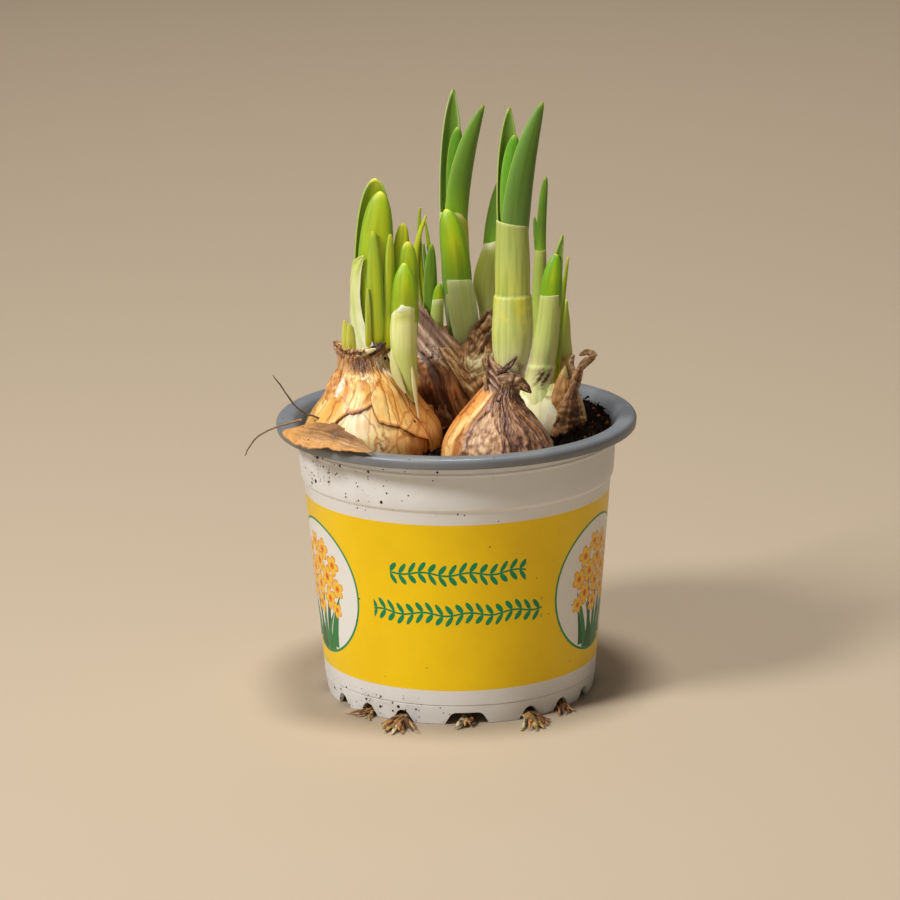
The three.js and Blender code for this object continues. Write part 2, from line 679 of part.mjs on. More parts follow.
function rootTuft(notchAzimuth, ends) {
  const inward = direction(notchAzimuth);
  const sideways = direction(notchAzimuth + 90);
  const strands = ends.map(({ azimuth, reach, radius }, index) => {
    const shift = index - (ends.length - 1) / 2;
    const lane = (distance, spread, z) => {
      const place = inward.clone().multiplyScalar(distance).addScaledVector(sideways, shift * spread);
      return [place.x, place.y, z];
    };
    const end = direction(azimuth).multiplyScalar(reach);
    return strand([
      lane(drainRadius, 0.5, 4.4), lane(baseRadius - 2.6, 0.55, 1.45), lane(baseRadius + 0.4, 0.65, 1.45),
      [end.x, end.y, radius + 0.3],
    ], radius, { sides: 4, steps: 4 });
  });
  const { x, y } = inward.clone().multiplyScalar(drainRadius);
  const bundle = roundBody([[3.6, x, y, 1.5, 1.5], [rootTopHeight, x, y, 1.9, 1.9]], { sides: 6 });
  return joinPieces([bundle, ...strands]);
}

function rootHole(azimuth) {
  const [x, y] = direction(azimuth).multiplyScalar(drainRadius).toArray();
  return roundBody([[floorTop, x, y, 2.4, 2.4], [rootTopHeight + 0.4, x, y, 2.4, 2.4]], { sides: 6 });
}

const tuftAzimuths = {
  roots_left: firstNotchAzimuth - 45,
  roots_front_left: firstNotchAzimuth - 27.6,
  roots_front: firstNotchAzimuth,
  roots_front_right: firstNotchAzimuth + 27.6,
  roots_right: firstNotchAzimuth + 45,
  roots_back: firstNotchAzimuth + 152.4,
};

const tuftEnds = {
  roots_left: [
    { azimuth: -54, reach: 53, radius: 0.7 }, { azimuth: -47, reach: 51.5, radius: 0.6 },
    { azimuth: -35, reach: 53, radius: 0.8 },
  ],
  roots_front_left: [
    { azimuth: -29, reach: 56, radius: 0.9 }, { azimuth: -24, reach: 60, radius: 0.9 },
    { azimuth: -20, reach: 58.5, radius: 0.9 }, { azimuth: -14.5, reach: 56, radius: 0.7 },
  ],
  roots_front: [
    { azimuth: -2.6, reach: 51.6, radius: 0.95 }, { azimuth: 1.6, reach: 49, radius: 0.6 },
  ],
  roots_front_right: [
    { azimuth: 18, reach: 58.5, radius: 0.7 }, { azimuth: 24, reach: 60, radius: 0.9 },
    { azimuth: 27.5, reach: 58, radius: 0.9 }, { azimuth: 31, reach: 54, radius: 0.7 },
  ],
  roots_right: [
    { azimuth: 36.5, reach: 50.5, radius: 0.8 }, { azimuth: 48, reach: 52, radius: 0.6 },
  ],
  roots_back: [{ azimuth: 150, reach: 53, radius: 0.8 }, { azimuth: 158, reach: 56, radius: 0.8 }],
};

const rootTufts = {};
for (const [name, azimuth] of Object.entries(tuftAzimuths)) {
  rootTufts[name] = rootTuft(azimuth, tuftEnds[name]);
}

// Clearances between neighbours

const pot = makePot();
const soil = makeSoil();
makeRoom(leftTallSheath, [leftTallLeaves]);
makeRoom(leftSideBuds, [leftTallSheath, leftTallLeaves]);
makeRoom(leftFrontSheath, [leftFrontLeaf]);
makeRoom(leftRearLeaves, [leftFrontSheath, leftFrontLeaf]);
makeRoom(backTallSheath, [backTallLeaves, backFrontSheath, backFrontLeaf]);
makeRoom(backFrontSheath, [backFrontLeaf]);
makeRoom(backLeaningSheath, [backLeaningLeaf]);
makeRoom(backSmallSheath, [backSmallLeaf]);
makeRoom(backThinLeaves, [backSmallSheath]);
makeRoom(frontSheath, [frontLeaves]);
makeRoom(rightFrontSheath, [rightFrontLeaves]);
makeRoom(rightRearSheath, [rightRearLeaves]);
makeRoom(leftBulb, [
  leftTallLeaves, leftTallSheath, leftSideBuds, leftFrontSheath, leftRearLeaves, upperHairRoot,
]);
makeRoom(frontBulb, [frontSheath]);
makeRoom(rightBulb, [rightFrontSheath, rightSideShoot, rightThinLeaf, rightRearSheath, frontBulb]);
makeRoom(backBulb, [
  backTallSheath, backFrontSheath, backLeaningSheath, backSmallSheath, backThinLeaves, leftBulb, rightBulb,
]);
const rimTop = roundBody([[90, 0, 0, rimRadius, rimRadius], [potHeight, 0, 0, rimRadius, rimRadius]], { sides: potSides });
makeRoom(looseHusk, [leftBulb, lowerHairRoot, rimTop]);
makeRoom(soil, [leftBulbLevels, frontBulbLevels, backBulbLevels, rightBulbLevels].map(socketOf));
makeRoom(soil, [rightFlap]);
makeRoom(soil, Object.keys(tuftAzimuths).map((name) => rootHole(tuftAzimuths[name])));

// Parts

const leafGreen = [0x4f8f35, 0.5];
const youngGreen = [0x9cba2c, 0.5];
const paleGreen = [0xb9c77c, 0.5];
const cream = [0xe3e3a8, 0.55];
const rootTan = [0xc9a56a, 0.8];

const parts = {
  pot: [pot, 0xe4e2dc, 0.45],
  soil: [soil, 0x1c1512, 0.98],
  bulb_left: [leftBulb, 0xd9a14e, 0.5],
  bulb_front: [frontBulb, 0x8d5f3c, 0.55],
  bulb_back: [backBulb, 0x9a7450, 0.6],
  bulb_right: [rightBulb, 0xd5cc94, 0.55],
  left_tall_leaves: [leftTallLeaves, ...youngGreen],
  left_tall_sheath: [leftTallSheath, ...cream],
  left_side_buds: [leftSideBuds, ...cream],
  left_front_sheath: [leftFrontSheath, ...cream],
  left_front_leaf: [leftFrontLeaf, ...youngGreen],
  left_rear_leaves: [leftRearLeaves, ...youngGreen],
  back_tall_sheath: [backTallSheath, ...paleGreen],
  back_tall_leaves: [backTallLeaves, ...leafGreen],
  back_front_sheath: [backFrontSheath, ...paleGreen],
  back_front_leaf: [backFrontLeaf, ...youngGreen],
  back_leaning_sheath: [backLeaningSheath, ...paleGreen],
  back_leaning_leaf: [backLeaningLeaf, ...leafGreen],
  back_small_sheath: [backSmallSheath, ...paleGreen],
  back_small_leaf: [backSmallLeaf, ...youngGreen],
  back_thin_leaves: [backThinLeaves, ...leafGreen],
  front_sheath: [frontSheath, ...paleGreen],
  front_leaves: [frontLeaves, ...leafGreen],
  right_front_sheath: [rightFrontSheath, ...paleGreen],
  right_front_leaves: [rightFrontLeaves, ...leafGreen],
  right_side_shoot: [rightSideShoot, ...paleGreen],
  right_thin_leaf: [rightThinLeaf, ...leafGreen],
  right_rear_sheath: [rightRearSheath, ...leafGreen],
  right_rear_leaves: [rightRearLeaves, ...leafGreen],
  loose_husk: [looseHusk, 0xb98a4c, 0.7],
  hair_root_upper: [upperHairRoot, 0x6d5238, 0.8],
  hair_root_lower: [lowerHairRoot, 0x8a6a48, 0.8],
};
for (const [name, tuft] of Object.entries(rootTufts)) {
  parts[name] = [tuft, ...rootTan];
}

const group = new THREE.Group();

for (const [name, [piece, color, roughness]] of Object.entries(parts)) {
  const { vertProperties, triVerts } = largestOf(piece.solid).getMesh();
  const geometry = new THREE.BufferGeometry();
  geometry.setAttribute('position', new THREE.BufferAttribute(vertProperties, 3));
  geometry.setIndex(new THREE.BufferAttribute(triVerts, 1));
  geometry.computeVertexNormals();
  const mesh = new THREE.Mesh(geometry, new THREE.MeshStandardMaterial({ color, roughness, metalness: 0 }));
  mesh.name = name;
  group.add(mesh);
}

export default group;
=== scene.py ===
import math
import random
import bpy
from mathutils import Matrix, Vector, noise


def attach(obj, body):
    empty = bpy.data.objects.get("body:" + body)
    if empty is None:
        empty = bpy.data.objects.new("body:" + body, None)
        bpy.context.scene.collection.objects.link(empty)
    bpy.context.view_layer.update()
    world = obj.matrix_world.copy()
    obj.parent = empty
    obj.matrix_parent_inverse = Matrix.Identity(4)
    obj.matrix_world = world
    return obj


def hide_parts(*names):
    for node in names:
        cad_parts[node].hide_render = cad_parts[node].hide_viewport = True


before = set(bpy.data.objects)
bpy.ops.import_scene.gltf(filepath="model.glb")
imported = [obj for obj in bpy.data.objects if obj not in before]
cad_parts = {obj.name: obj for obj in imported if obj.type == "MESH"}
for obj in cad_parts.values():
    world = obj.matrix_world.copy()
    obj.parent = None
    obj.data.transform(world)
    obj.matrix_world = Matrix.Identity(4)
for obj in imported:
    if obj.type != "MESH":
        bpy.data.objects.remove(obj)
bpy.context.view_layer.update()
print("frame loaded:", len(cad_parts), "nodes")

mm = 0.001  # sizes below are in millimetres and become metres where vertices are placed
upward = Vector((0, 0, 1))


# small helpers used by every piece

def deselectAll():
    if bpy.context.object and bpy.context.object.mode != "OBJECT":
        bpy.ops.object.mode_set(mode="OBJECT")
    bpy.ops.object.select_all(action="DESELECT")


def pick(piece):
    deselectAll()
    piece.select_set(True)
    bpy.context.view_layer.objects.active = piece


def linear(red, green, blue):  # a screen colour, 0 to 255, as the light that a shader wants
    def one(value):
        value = max(0, min(1, value / 255))
        return value / 12.92 if value <= 0.04045 else ((value + 0.055) / 1.055) ** 2.4
    return (one(red), one(green), one(blue), 1)


def mix(a, b, share):
    share = max(0, min(1, share))
    if isinstance(a, (tuple, list)):
        return tuple(p + (q - p) * share for p, q in zip(a, b))
    return a + (b - a) * share


def ease(low, high, value):  # 0 below low, 1 above high, smooth between
    share = max(0, min(1, (value - low) / (high - low)))
    return share * share * (3 - 2 * share)


def near(value, centre, reach):  # 1 at the centre, 0 at its reach
    return max(0, 1 - abs(value - centre) / reach)


def rough(x, y=0, z=0, octaves=3):  # about -1 to 1
    total, weight, scale = 0, 1, 1
    for _ in range(octaves):
        total += weight * noise.noise(Vector((x * scale, y * scale + 7.3 * scale, z * scale)))
        weight, scale = weight * 0.55, scale * 2.03
    return total * 1.35


def lineAt(points, value):  # straight lines through [where, value] pairs
    if value <= points[0][0]:
        return points[0][1]
    for (x0, y0), (x1, y1) in zip(points, points[1:]):
        if value <= x1:
            return y0 + (y1 - y0) * (value - x0) / (x1 - x0)
    return points[-1][1]


def curveAt(rows, where):  # a smooth curve through rows [where, value, value ...]
    if where <= rows[0][0]:
        return rows[0][1:]
    for i in range(len(rows) - 1):
        a, b = rows[i], rows[i + 1]
        if where <= b[0]:
            before = rows[i - 1] if i else a
            after = rows[i + 2] if i + 2 < len(rows) else b
            span = b[0] - a[0]
            s = (where - a[0]) / span
            values = []
            for k in range(1, len(a)):
                slopeIn = (b[k] - before[k]) / (b[0] - before[0]) * span
                slopeOut = (after[k] - a[k]) / (after[0] - a[0]) * span
                values.append(
                    (2 * s ** 3 - 3 * s ** 2 + 1) * a[k] + (s ** 3 - 2 * s ** 2 + s) * slopeIn
                    + (3 * s ** 2 - 2 * s ** 3) * b[k] + (s ** 3 - s ** 2) * slopeOut)
            return values
    return rows[-1][1:]


def direction(azimuth):  # 0 is the front, 90 the right
    angle = math.radians(azimuth)
    return Vector((math.sin(angle), -math.cos(angle), 0))


# sheets: a grid primitive whose points are set on a surface, coloured point by point

def addSheet(name, across, along, place, paint, wall=0, edgeWall=0.4, closed=False):
    deselectAll()
    bpy.ops.mesh.primitive_grid_add(x_subdivisions=across, y_subdivisions=along, size=1)
    sheet = bpy.context.object
    sheet.name = sheet.data.name = name
    mesh, colours = sheet.data, []
    if wall:
        thickness = sheet.vertex_groups.new(name="thickness")
    for vertex in mesh.vertices:
        u, v = vertex.co.x + 0.5, vertex.co.y + 0.5
        vertex.co = Vector(place(u, v)) * mm
        colours += linear(*paint(u, v))
        if wall:
            thickness.add([vertex.index], mix(edgeWall, 1, min(1, u / 0.2, (1 - u) / 0.2)), "REPLACE")
    mesh.attributes.new("tint", "FLOAT_COLOR", "POINT")
    mesh.attributes["tint"].data.foreach_set("color", colours)
    if closed:
        bpy.ops.object.mode_set(mode="EDIT")
        bpy.ops.mesh.select_all(action="SELECT")
        bpy.ops.mesh.remove_doubles(threshold=0.00001)
        bpy.ops.mesh.normals_make_consistent(inside=False)
        bpy.ops.object.mode_set(mode="OBJECT")
    if wall:
        pick(sheet)
        bpy.ops.object.modifier_add(type="SOLIDIFY")
        solid = sheet.modifiers[-1]
        solid.thickness = wall * mm
        solid.offset = 0
        solid.vertex_group = "thickness"
        bpy.ops.object.modifier_apply(modifier=solid.name)
    pick(sheet)
    bpy.ops.object.shade_smooth_by_angle(angle=math.radians(55))
    return sheet


def joinAll(pieces, name):
    deselectAll()
    for piece in pieces:
        piece.select_set(True)
    bpy.context.view_layer.objects.active = pieces[0]
    if len(pieces) > 1:
        bpy.ops.object.join()
    joined = bpy.context.object
    joined.name = joined.data.name = name
    return joined


def finishPiece(piece, material, slotName, *nodes):
    piece.data.materials.clear()
    piece.data.materials.append(material)
    place(piece, slotName, *nodes)


def place(piece, slotName, *nodes):
    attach(piece, "root")
    if nodes:
        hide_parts(*nodes)


# shader helpers

def newMaterial(name):
    material = bpy.data.materials.new(name)
    material.use_nodes = True
    return material, material.node_tree, material.node_tree.nodes["Principled BSDF"]


def addNode(tree, kind, settings=None, **inputs):
    node = tree.nodes.new(kind)
    for key, value in (settings or {}).items():
        setattr(node, key, value)
    for key, value in inputs.items():
        socket = node.inputs[int(key[1:])] if key[0] == "i" and key[1:].isdigit() else node.inputs[key]
        if isinstance(value, bpy.types.NodeSocket):
            tree.links.new(value, socket)
        else:
            socket.default_value = value
    return node


def calc(tree, operation, a, b=0.0, c=0.0):
    return addNode(tree, "ShaderNodeMath", {"operation": operation}, i0=a, i1=b, i2=c).outputs[0]


def plus(tree, a, b):
    return calc(tree, "ADD", a, b)


def minus(tree, a, b):
    return calc(tree, "SUBTRACT", a, b)


def times(tree, a, b):
    return calc(tree, "MULTIPLY", a, b)


def ramp(tree, value, low, high):  # 0 to 1 between two values, smooth
    settings = {"interpolation_type": "SMOOTHSTEP"}
    return addNode(tree, "ShaderNodeMapRange", settings, Value=value, i1=low, i2=high).outputs[0]


def softLine(tree, value, middle, reach):  # 1 on a line, 0 beside it
    away = calc(tree, "ABSOLUTE", minus(tree, value, middle))
    return ramp(tree, away, reach, 0.0)


def mixColour(tree, share, a, b, blend="MIX"):
    node = tree.nodes.new("ShaderNodeMix")
    node.data_type = "RGBA"
    node.blend_type = blend
    for socket, value in ((node.inputs[0], share), (node.inputs[6], a), (node.inputs[7], b)):
        if isinstance(value, bpy.types.NodeSocket):
            tree.links.new(value, socket)
        else:
            socket.default_value = value
    return node.outputs[2]


def newGroup(name, inputs, outputs):  # inputs with their usual values, outputs by name
    group = bpy.data.node_groups.new(name, "ShaderNodeTree")
    for label, value in inputs:
        socket = group.interface.new_socket(name=label, in_out="INPUT", socket_type="NodeSocketFloat")
        socket.default_value = value
    for label in outputs:
        group.interface.new_socket(name=label, in_out="OUTPUT", socket_type="NodeSocketFloat")
    return group, group.nodes.new("NodeGroupInput").outputs, group.nodes.new("NodeGroupOutput").inputs


def useGroup(tree, group, **inputs):
    node = addNode(tree, "ShaderNodeGroup", {"node_tree": group})
    for key, value in inputs.items():
        label = key.replace("_", " ")
        if isinstance(value, bpy.types.NodeSocket):
            tree.links.new(value, node.inputs[label])
        else:
            node.inputs[label].default_value = value
    return node.outputs


# fibres: fine lines that run lengthwise on a leaf, a sheath or a papery skin, from the piece's own UV map
def makeFibreGroup():
    group, given, result = newGroup(
        "lengthwiseFibres",
        [("Lines", 40.0), ("Stretch", 1.5)],
        ["Streak", "Fine"])
    uv = group.nodes.new("ShaderNodeUVMap")
    parts = addNode(group, "ShaderNodeSeparateXYZ", Vector=uv.outputs[0]).outputs
    for label, ratio in (("Streak", 1.0), ("Fine", 3.1)):
        wide = times(group, parts[0], times(group, given["Lines"], ratio))
        tall = times(group, parts[1], times(group, given["Stretch"], ratio))
        where = addNode(group, "ShaderNodeCombineXYZ", X=wide, Y=tall).outputs[0]
        grain = addNode(group, "ShaderNodeTexNoise", Vector=where, Scale=1.0, Detail=3.0, Roughness=0.6)
        group.links.new(grain.outputs[0], result[label])
    return group


# specks: small dark dots scattered in a place that a mask gives
def makeSpeckGroup():
    group, given, result = newGroup(
        "specks",
        [("Scale", 900.0), ("Amount", 0.3)],
        ["Mask"])
    where = group.nodes.new("ShaderNodeTexCoord").outputs["Object"]
    cells = addNode(group, "ShaderNodeTexVoronoi", Vector=where, Scale=given["Scale"])
    keep = addNode(group, "ShaderNodeSeparateColor", Color=cells.outputs["Color"]).outputs
    size = calc(group, "MULTIPLY_ADD", keep[1], 0.24, 0.07)
    dot = calc(group, "LESS_THAN", cells.outputs["Distance"], size)
    chosen = calc(group, "LESS_THAN", keep[0], given["Amount"])
    group.links.new(times(group, dot, chosen), result["Mask"])
    return group


# crackle: thin lines between the long cells of a dried skin
def makeCrackleGroup():
    group, given, result = newGroup(
        "crackle",
        [("Scale", 110.0), ("Width", 0.05)],
        ["Line"])
    where = group.nodes.new("ShaderNodeTexCoord").outputs["Object"]
    stir = addNode(group, "ShaderNodeTexNoise", Vector=where, Scale=110.0, Detail=3.0).outputs["Color"]
    moved = addNode(group, "ShaderNodeVectorMath", {"operation": "MULTIPLY_ADD"}, i0=stir, i1=(0.009,) * 3,
        i2=where)
    tall = addNode(group, "ShaderNodeVectorMath", {"operation": "MULTIPLY"}, i0=moved.outputs[0],
        i1=(1, 1, 0.4))
    cells = addNode(
        group, "ShaderNodeTexVoronoi", {"feature": "DISTANCE_TO_EDGE"}, Vector=tall.outputs[0],
        Scale=given["Scale"])
    line = ramp(group, cells.outputs["Distance"], given["Width"], 0.0)
    group.links.new(line, result["Line"])
    return group


fibreGroup = makeFibreGroup()
crackleGroup = makeCrackleGroup()
speckGroup = makeSpeckGroup()


def makeTintMaterial(name, look):  # colours come from the piece's own tint, fine detail from the groups
    material, tree, shader = newMaterial(name)
    tint = addNode(tree, "ShaderNodeAttribute", {"attribute_name": "tint"}).outputs["Color"]
    fibres = useGroup(tree, fibreGroup, Lines=look["lines"], Stretch=look["stretch"])
    dark = ramp(tree, fibres["Streak"], 0.5, 0.72)
    light = ramp(tree, fibres["Fine"], 0.52, 0.7)
    darker = mixColour(tree, times(tree, dark, look["dark"]), tint, look["darkTint"], "MULTIPLY")
    lighter = mixColour(
        tree, times(tree, light, look["light"]), darker, look["lightTint"], "SCREEN")
    if look["crackle"]:
        lines = useGroup(tree, crackleGroup, Scale=look["crackleScale"], Width=look["crackleWidth"])["Line"]
        share = times(tree, lines, look["crackle"])
        lighter = mixColour(tree, share, lighter, look["crackleTint"], "MULTIPLY")
    specks = useGroup(tree, speckGroup, Scale=look["speckScale"], Amount=look["specks"])["Mask"]
    where = tree.nodes.new("ShaderNodeTexCoord").outputs["Object"]
    blotch = addNode(tree, "ShaderNodeTexNoise", Vector=where, Scale=look["blotchScale"], Detail=4.0)
    blotchy = mixColour(
        tree, times(tree, ramp(tree, blotch.outputs[0], 0.45, 0.75), look["blotch"]),
        lighter, look["blotchTint"], "MULTIPLY")
    coloured = mixColour(tree, specks, blotchy, look["speckTint"])
    tree.links.new(coloured, shader.inputs["Base Color"])
    grain = plus(tree, fibres["Streak"], times(tree, blotch.outputs[0], look["lumps"]))
    bump = addNode(tree, "ShaderNodeBump", Height=grain, Strength=look["bump"], Distance=look["depth"])
    tree.links.new(bump.outputs[0], shader.inputs["Normal"])
    shine = addNode(tree, "ShaderNodeMapRange", Value=fibres["Streak"])
    shine.inputs["To Min"].default_value = look["roughness"] - 0.08
    shine.inputs["To Max"].default_value = look["roughness"] + 0.1
    tree.links.new(shine.outputs[0], shader.inputs["Roughness"])
    for label, value in (
            ("Subsurface Weight", look["glow"]), ("Subsurface Radius", (1.0, 0.8, 0.3)),
            ("Subsurface Scale", 0.0012), ("Coat Weight", look["coat"]), ("Coat Roughness", 0.35),
            ("Specular IOR Level", look["specular"])):
        shader.inputs[label].default_value = value
    return material


plainLook = {
    "lines": 26.0, "stretch": 1.2, "dark": 0.3, "darkTint": (0.6, 0.6, 0.5, 1), "light": 0.15,
    "lightTint": (0.3, 0.32, 0.2, 1), "speckScale": 900.0, "specks": 0.0,
    "speckTint": (0.02, 0.012, 0.006, 1), "blotchScale": 120.0, "blotch": 0.1,
    "blotchTint": (0.7, 0.6, 0.5, 1), "bump": 0.25, "depth": 0.0003, "lumps": 0.3, "roughness": 0.5,
    "glow": 0.0, "coat": 0.0, "crackle": 0.0, "crackleScale": 110.0, "crackleWidth": 0.05,
    "crackleTint": (0.5, 0.28, 0.12, 1), "specular": 0.5,
}
leafMaterial = makeTintMaterial("leafGreen", {
    **plainLook, "lines": 34.0, "stretch": 0.7, "dark": 0.4, "darkTint": (0.58, 0.74, 0.42, 1), "light": 0.35,
    "lightTint": (0.1, 0.14, 0.02, 1), "blotch": 0.15, "blotchTint": (0.8, 0.9, 0.5, 1), "bump": 0.3,
    "depth": 0.00025, "roughness": 0.44, "glow": 0.12, "coat": 0.08,
})
sheathMaterial = makeTintMaterial("paleSheath", {
    **plainLook, "lines": 84.0, "stretch": 1.4, "dark": 0.42, "darkTint": (0.68, 0.78, 0.42, 1), "light": 0.3,
    "lightTint": (0.14, 0.13, 0.05, 1), "blotch": 0.12, "blotchTint": (0.9, 0.86, 0.5, 1), "bump": 0.3,
    "depth": 0.0002, "roughness": 0.44, "glow": 0.14, "coat": 0.06,
})
skinMaterial = makeTintMaterial("goldenSkin", {
    **plainLook, "lines": 46.0, "stretch": 1.8, "dark": 0.22, "darkTint": (0.75, 0.5, 0.28, 1), "light": 0.25,
    "lightTint": (0.2, 0.14, 0.05, 1), "specks": 0.03, "speckScale": 430.0, "blotch": 0.35,
    "blotchTint": (0.84, 0.6, 0.36, 1), "blotchScale": 190.0, "bump": 0.3, "depth": 0.0003, "roughness": 0.36,
    "glow": 0.1, "coat": 0.22, "crackle": 0.75, "crackleScale": 105.0, "crackleWidth": 0.05,
    "crackleTint": (0.62, 0.34, 0.15, 1),
})
brownMaterial = makeTintMaterial("brownSkin", {
    **plainLook, "lines": 60.0, "stretch": 2.6, "dark": 0.5, "darkTint": (0.5, 0.38, 0.3, 1), "light": 0.35,
    "lightTint": (0.2, 0.15, 0.1, 1), "specks": 0.05, "speckScale": 520.0, "blotch": 0.45,
    "blotchTint": (0.6, 0.45, 0.34, 1), "blotchScale": 260.0, "bump": 0.5, "depth": 0.0004, "roughness": 0.46,
    "glow": 0.04, "coat": 0.14, "crackle": 0.55, "crackleScale": 190.0, "crackleWidth": 0.07,
    "crackleTint": (0.42, 0.28, 0.2, 1),
})
dryMaterial = makeTintMaterial("dryHusk", {
    **plainLook, "lines": 44.0, "stretch": 0.7, "dark": 0.75, "darkTint": (0.5, 0.38, 0.26, 1), "light": 0.35,
    "lightTint": (0.2, 0.14, 0.07, 1), "specks": 0.04, "speckScale": 500.0, "blotch": 0.3,
    "blotchTint": (0.5, 0.4, 0.3, 1), "blotchScale": 240.0, "bump": 0.6, "depth": 0.0005, "roughness": 0.55,
    "crackle": 0.4, "crackleScale": 260.0, "crackleWidth": 0.06,
})
rootMaterial = makeTintMaterial("fleshyRoot", {
    **plainLook, "lines": 8.0, "stretch": 6.0, "dark": 0.45, "darkTint": (0.6, 0.42, 0.26, 1), "light": 0.2,
    "specks": 0.06, "speckScale": 700.0, "blotch": 0.35, "blotchScale": 300.0, "bump": 0.3, "roughness": 0.6,
    "glow": 0.08,
})
crumbMaterial = makeTintMaterial("peatCrumb", {
    **plainLook, "lines": 5.0, "stretch": 5.0, "light": 0.0, "blotch": 0.8, "blotchScale": 900.0,
    "blotchTint": (0.2, 0.15, 0.12, 1), "bump": 0.9, "depth": 0.0007, "lumps": 2.0, "roughness": 0.95,
    "specular": 0.02,
})
print("materials ready")


# pot: a profile drawn point by point, spun, then cut at the foot

perDegree = 0.848  # millimetres along the wall for one degree, at the print's middle
potLook = {
    "spinSteps": 180,
    "outsideTop": 90.3,          # above this the grey plastic shows
    "white": (230, 230, 230),
    "grey": (112, 117, 124),
    "yellow": (252, 212, 0),
    "green": (0, 138, 84),
    "bandLow": 11.93, "bandHigh": 69.45,
    # azimuth, height, half width, half height
    "ovals": [(-70.1, 40.5, 27.4, 23.1), (67.6, 40.75, 27.6, 23.3)],
    "outlineShare": 0.965,
    # azimuth, height, half length in degrees
    "sprigRows": [(-0.5, 52.6, 26.5), (-0.8, 38.7, 34.5)],
}
footCut = {"first": 2.3, "wide": 13.2, "narrow": 6.2, "depth": 4.2, "steps": (27.6, 45, 62.4)}


def arc(cx, cz, radius, fromAngle, toAngle, count):
    return [
        (cx + radius * math.cos(math.radians(mix(fromAngle, toAngle, i / count))),
         cz + radius * math.sin(math.radians(mix(fromAngle, toAngle, i / count))))
        for i in range(count + 1)]


def potProfile():
    points = [(0.001, 0), (9, 0), (9.3, 0.3), (10.5, 4.8), (10.9, 5), (43.2, 5), (43.4, 4.8), (43.75, 0.5)]
    points += arc(44.35, 0.55, 0.55, 180, 320, 5)
    points += [(45.25, 2.2), (45.62, 6.35), (45.5, 6.5), (45.52, 6.75), (45.8, 6.95), (45.95, 9.5)]
    points += [(48.6, 41), (51.28, 73.4), (51.5, 73.9), (52.0, 74.35), (52.22, 74.9), (52.5, 79)]
    points += [(52.92, 85.9), (53.16, 86.2), (53.24, 86.55), (53.12, 86.9), (53.0, 87.1), (53.3, 90.4)]
    points += [(53.6, 91.1), (54.3, 91.5), (57.6, 91.45), (58.4, 91.1), (58.7, 90.5)]
    points += arc(59.3, 90.7, 0.55, 200, 340, 4)
    points += arc(58.35, 92.25, 1.65, -12, 88, 8)
    points += [(56.6, 93.9), (55.2, 93.82), (54.3, 93.55), (53.6, 92.9), (52.9, 91.9), (52.3, 90.9)]
    points += [(51.9, 86), (51.1, 75.3), (50.7, 74.5), (50.35, 73.9), (50.25, 73.0), (44.6, 8), (44.2, 6.9)]
    return points + [(43.2, 6.3), (0.001, 6.3)]


def makeFootCutter(azimuth, width):  # a rounded arch, wider at the ground
    deselectAll()
    bpy.ops.mesh.primitive_cube_add(size=1, location=(0, 0, 0))
    cutter = bpy.context.object
    half, deep = width / 2 * mm, footCut["depth"] * mm
    for vertex in cutter.data.vertices:
        top = vertex.co.z > 0
        across = (half - 1.6 * mm) if top else (half + 1.3 * mm)
        vertex.co = Vector((math.copysign(across, vertex.co.x), vertex.co.y * 9 * mm, deep if top else -mm))
    bpy.ops.object.mode_set(mode="EDIT")
    bpy.ops.mesh.select_all(action="DESELECT")
    bpy.ops.object.mode_set(mode="OBJECT")
    for edge in cutter.data.edges:  # the two long upper edges
        a, b = (cutter.data.vertices[i].co for i in edge.vertices)
        edge.select = a.z > 0 and b.z > 0 and abs(a.x - b.x) < 1e-6
    bpy.ops.object.mode_set(mode="EDIT")
    bpy.ops.mesh.select_mode(type="EDGE")
    bpy.ops.mesh.bevel(offset=1.3 * mm, segments=4, affect="EDGES")
    bpy.ops.object.mode_set(mode="OBJECT")
    turn = Matrix.Rotation(math.radians(azimuth), 4, "Z")
    outward = direction(azimuth) * 45.1 * mm
    cutter.data.transform(Matrix.Translation(outward) @ turn)
    return cutter


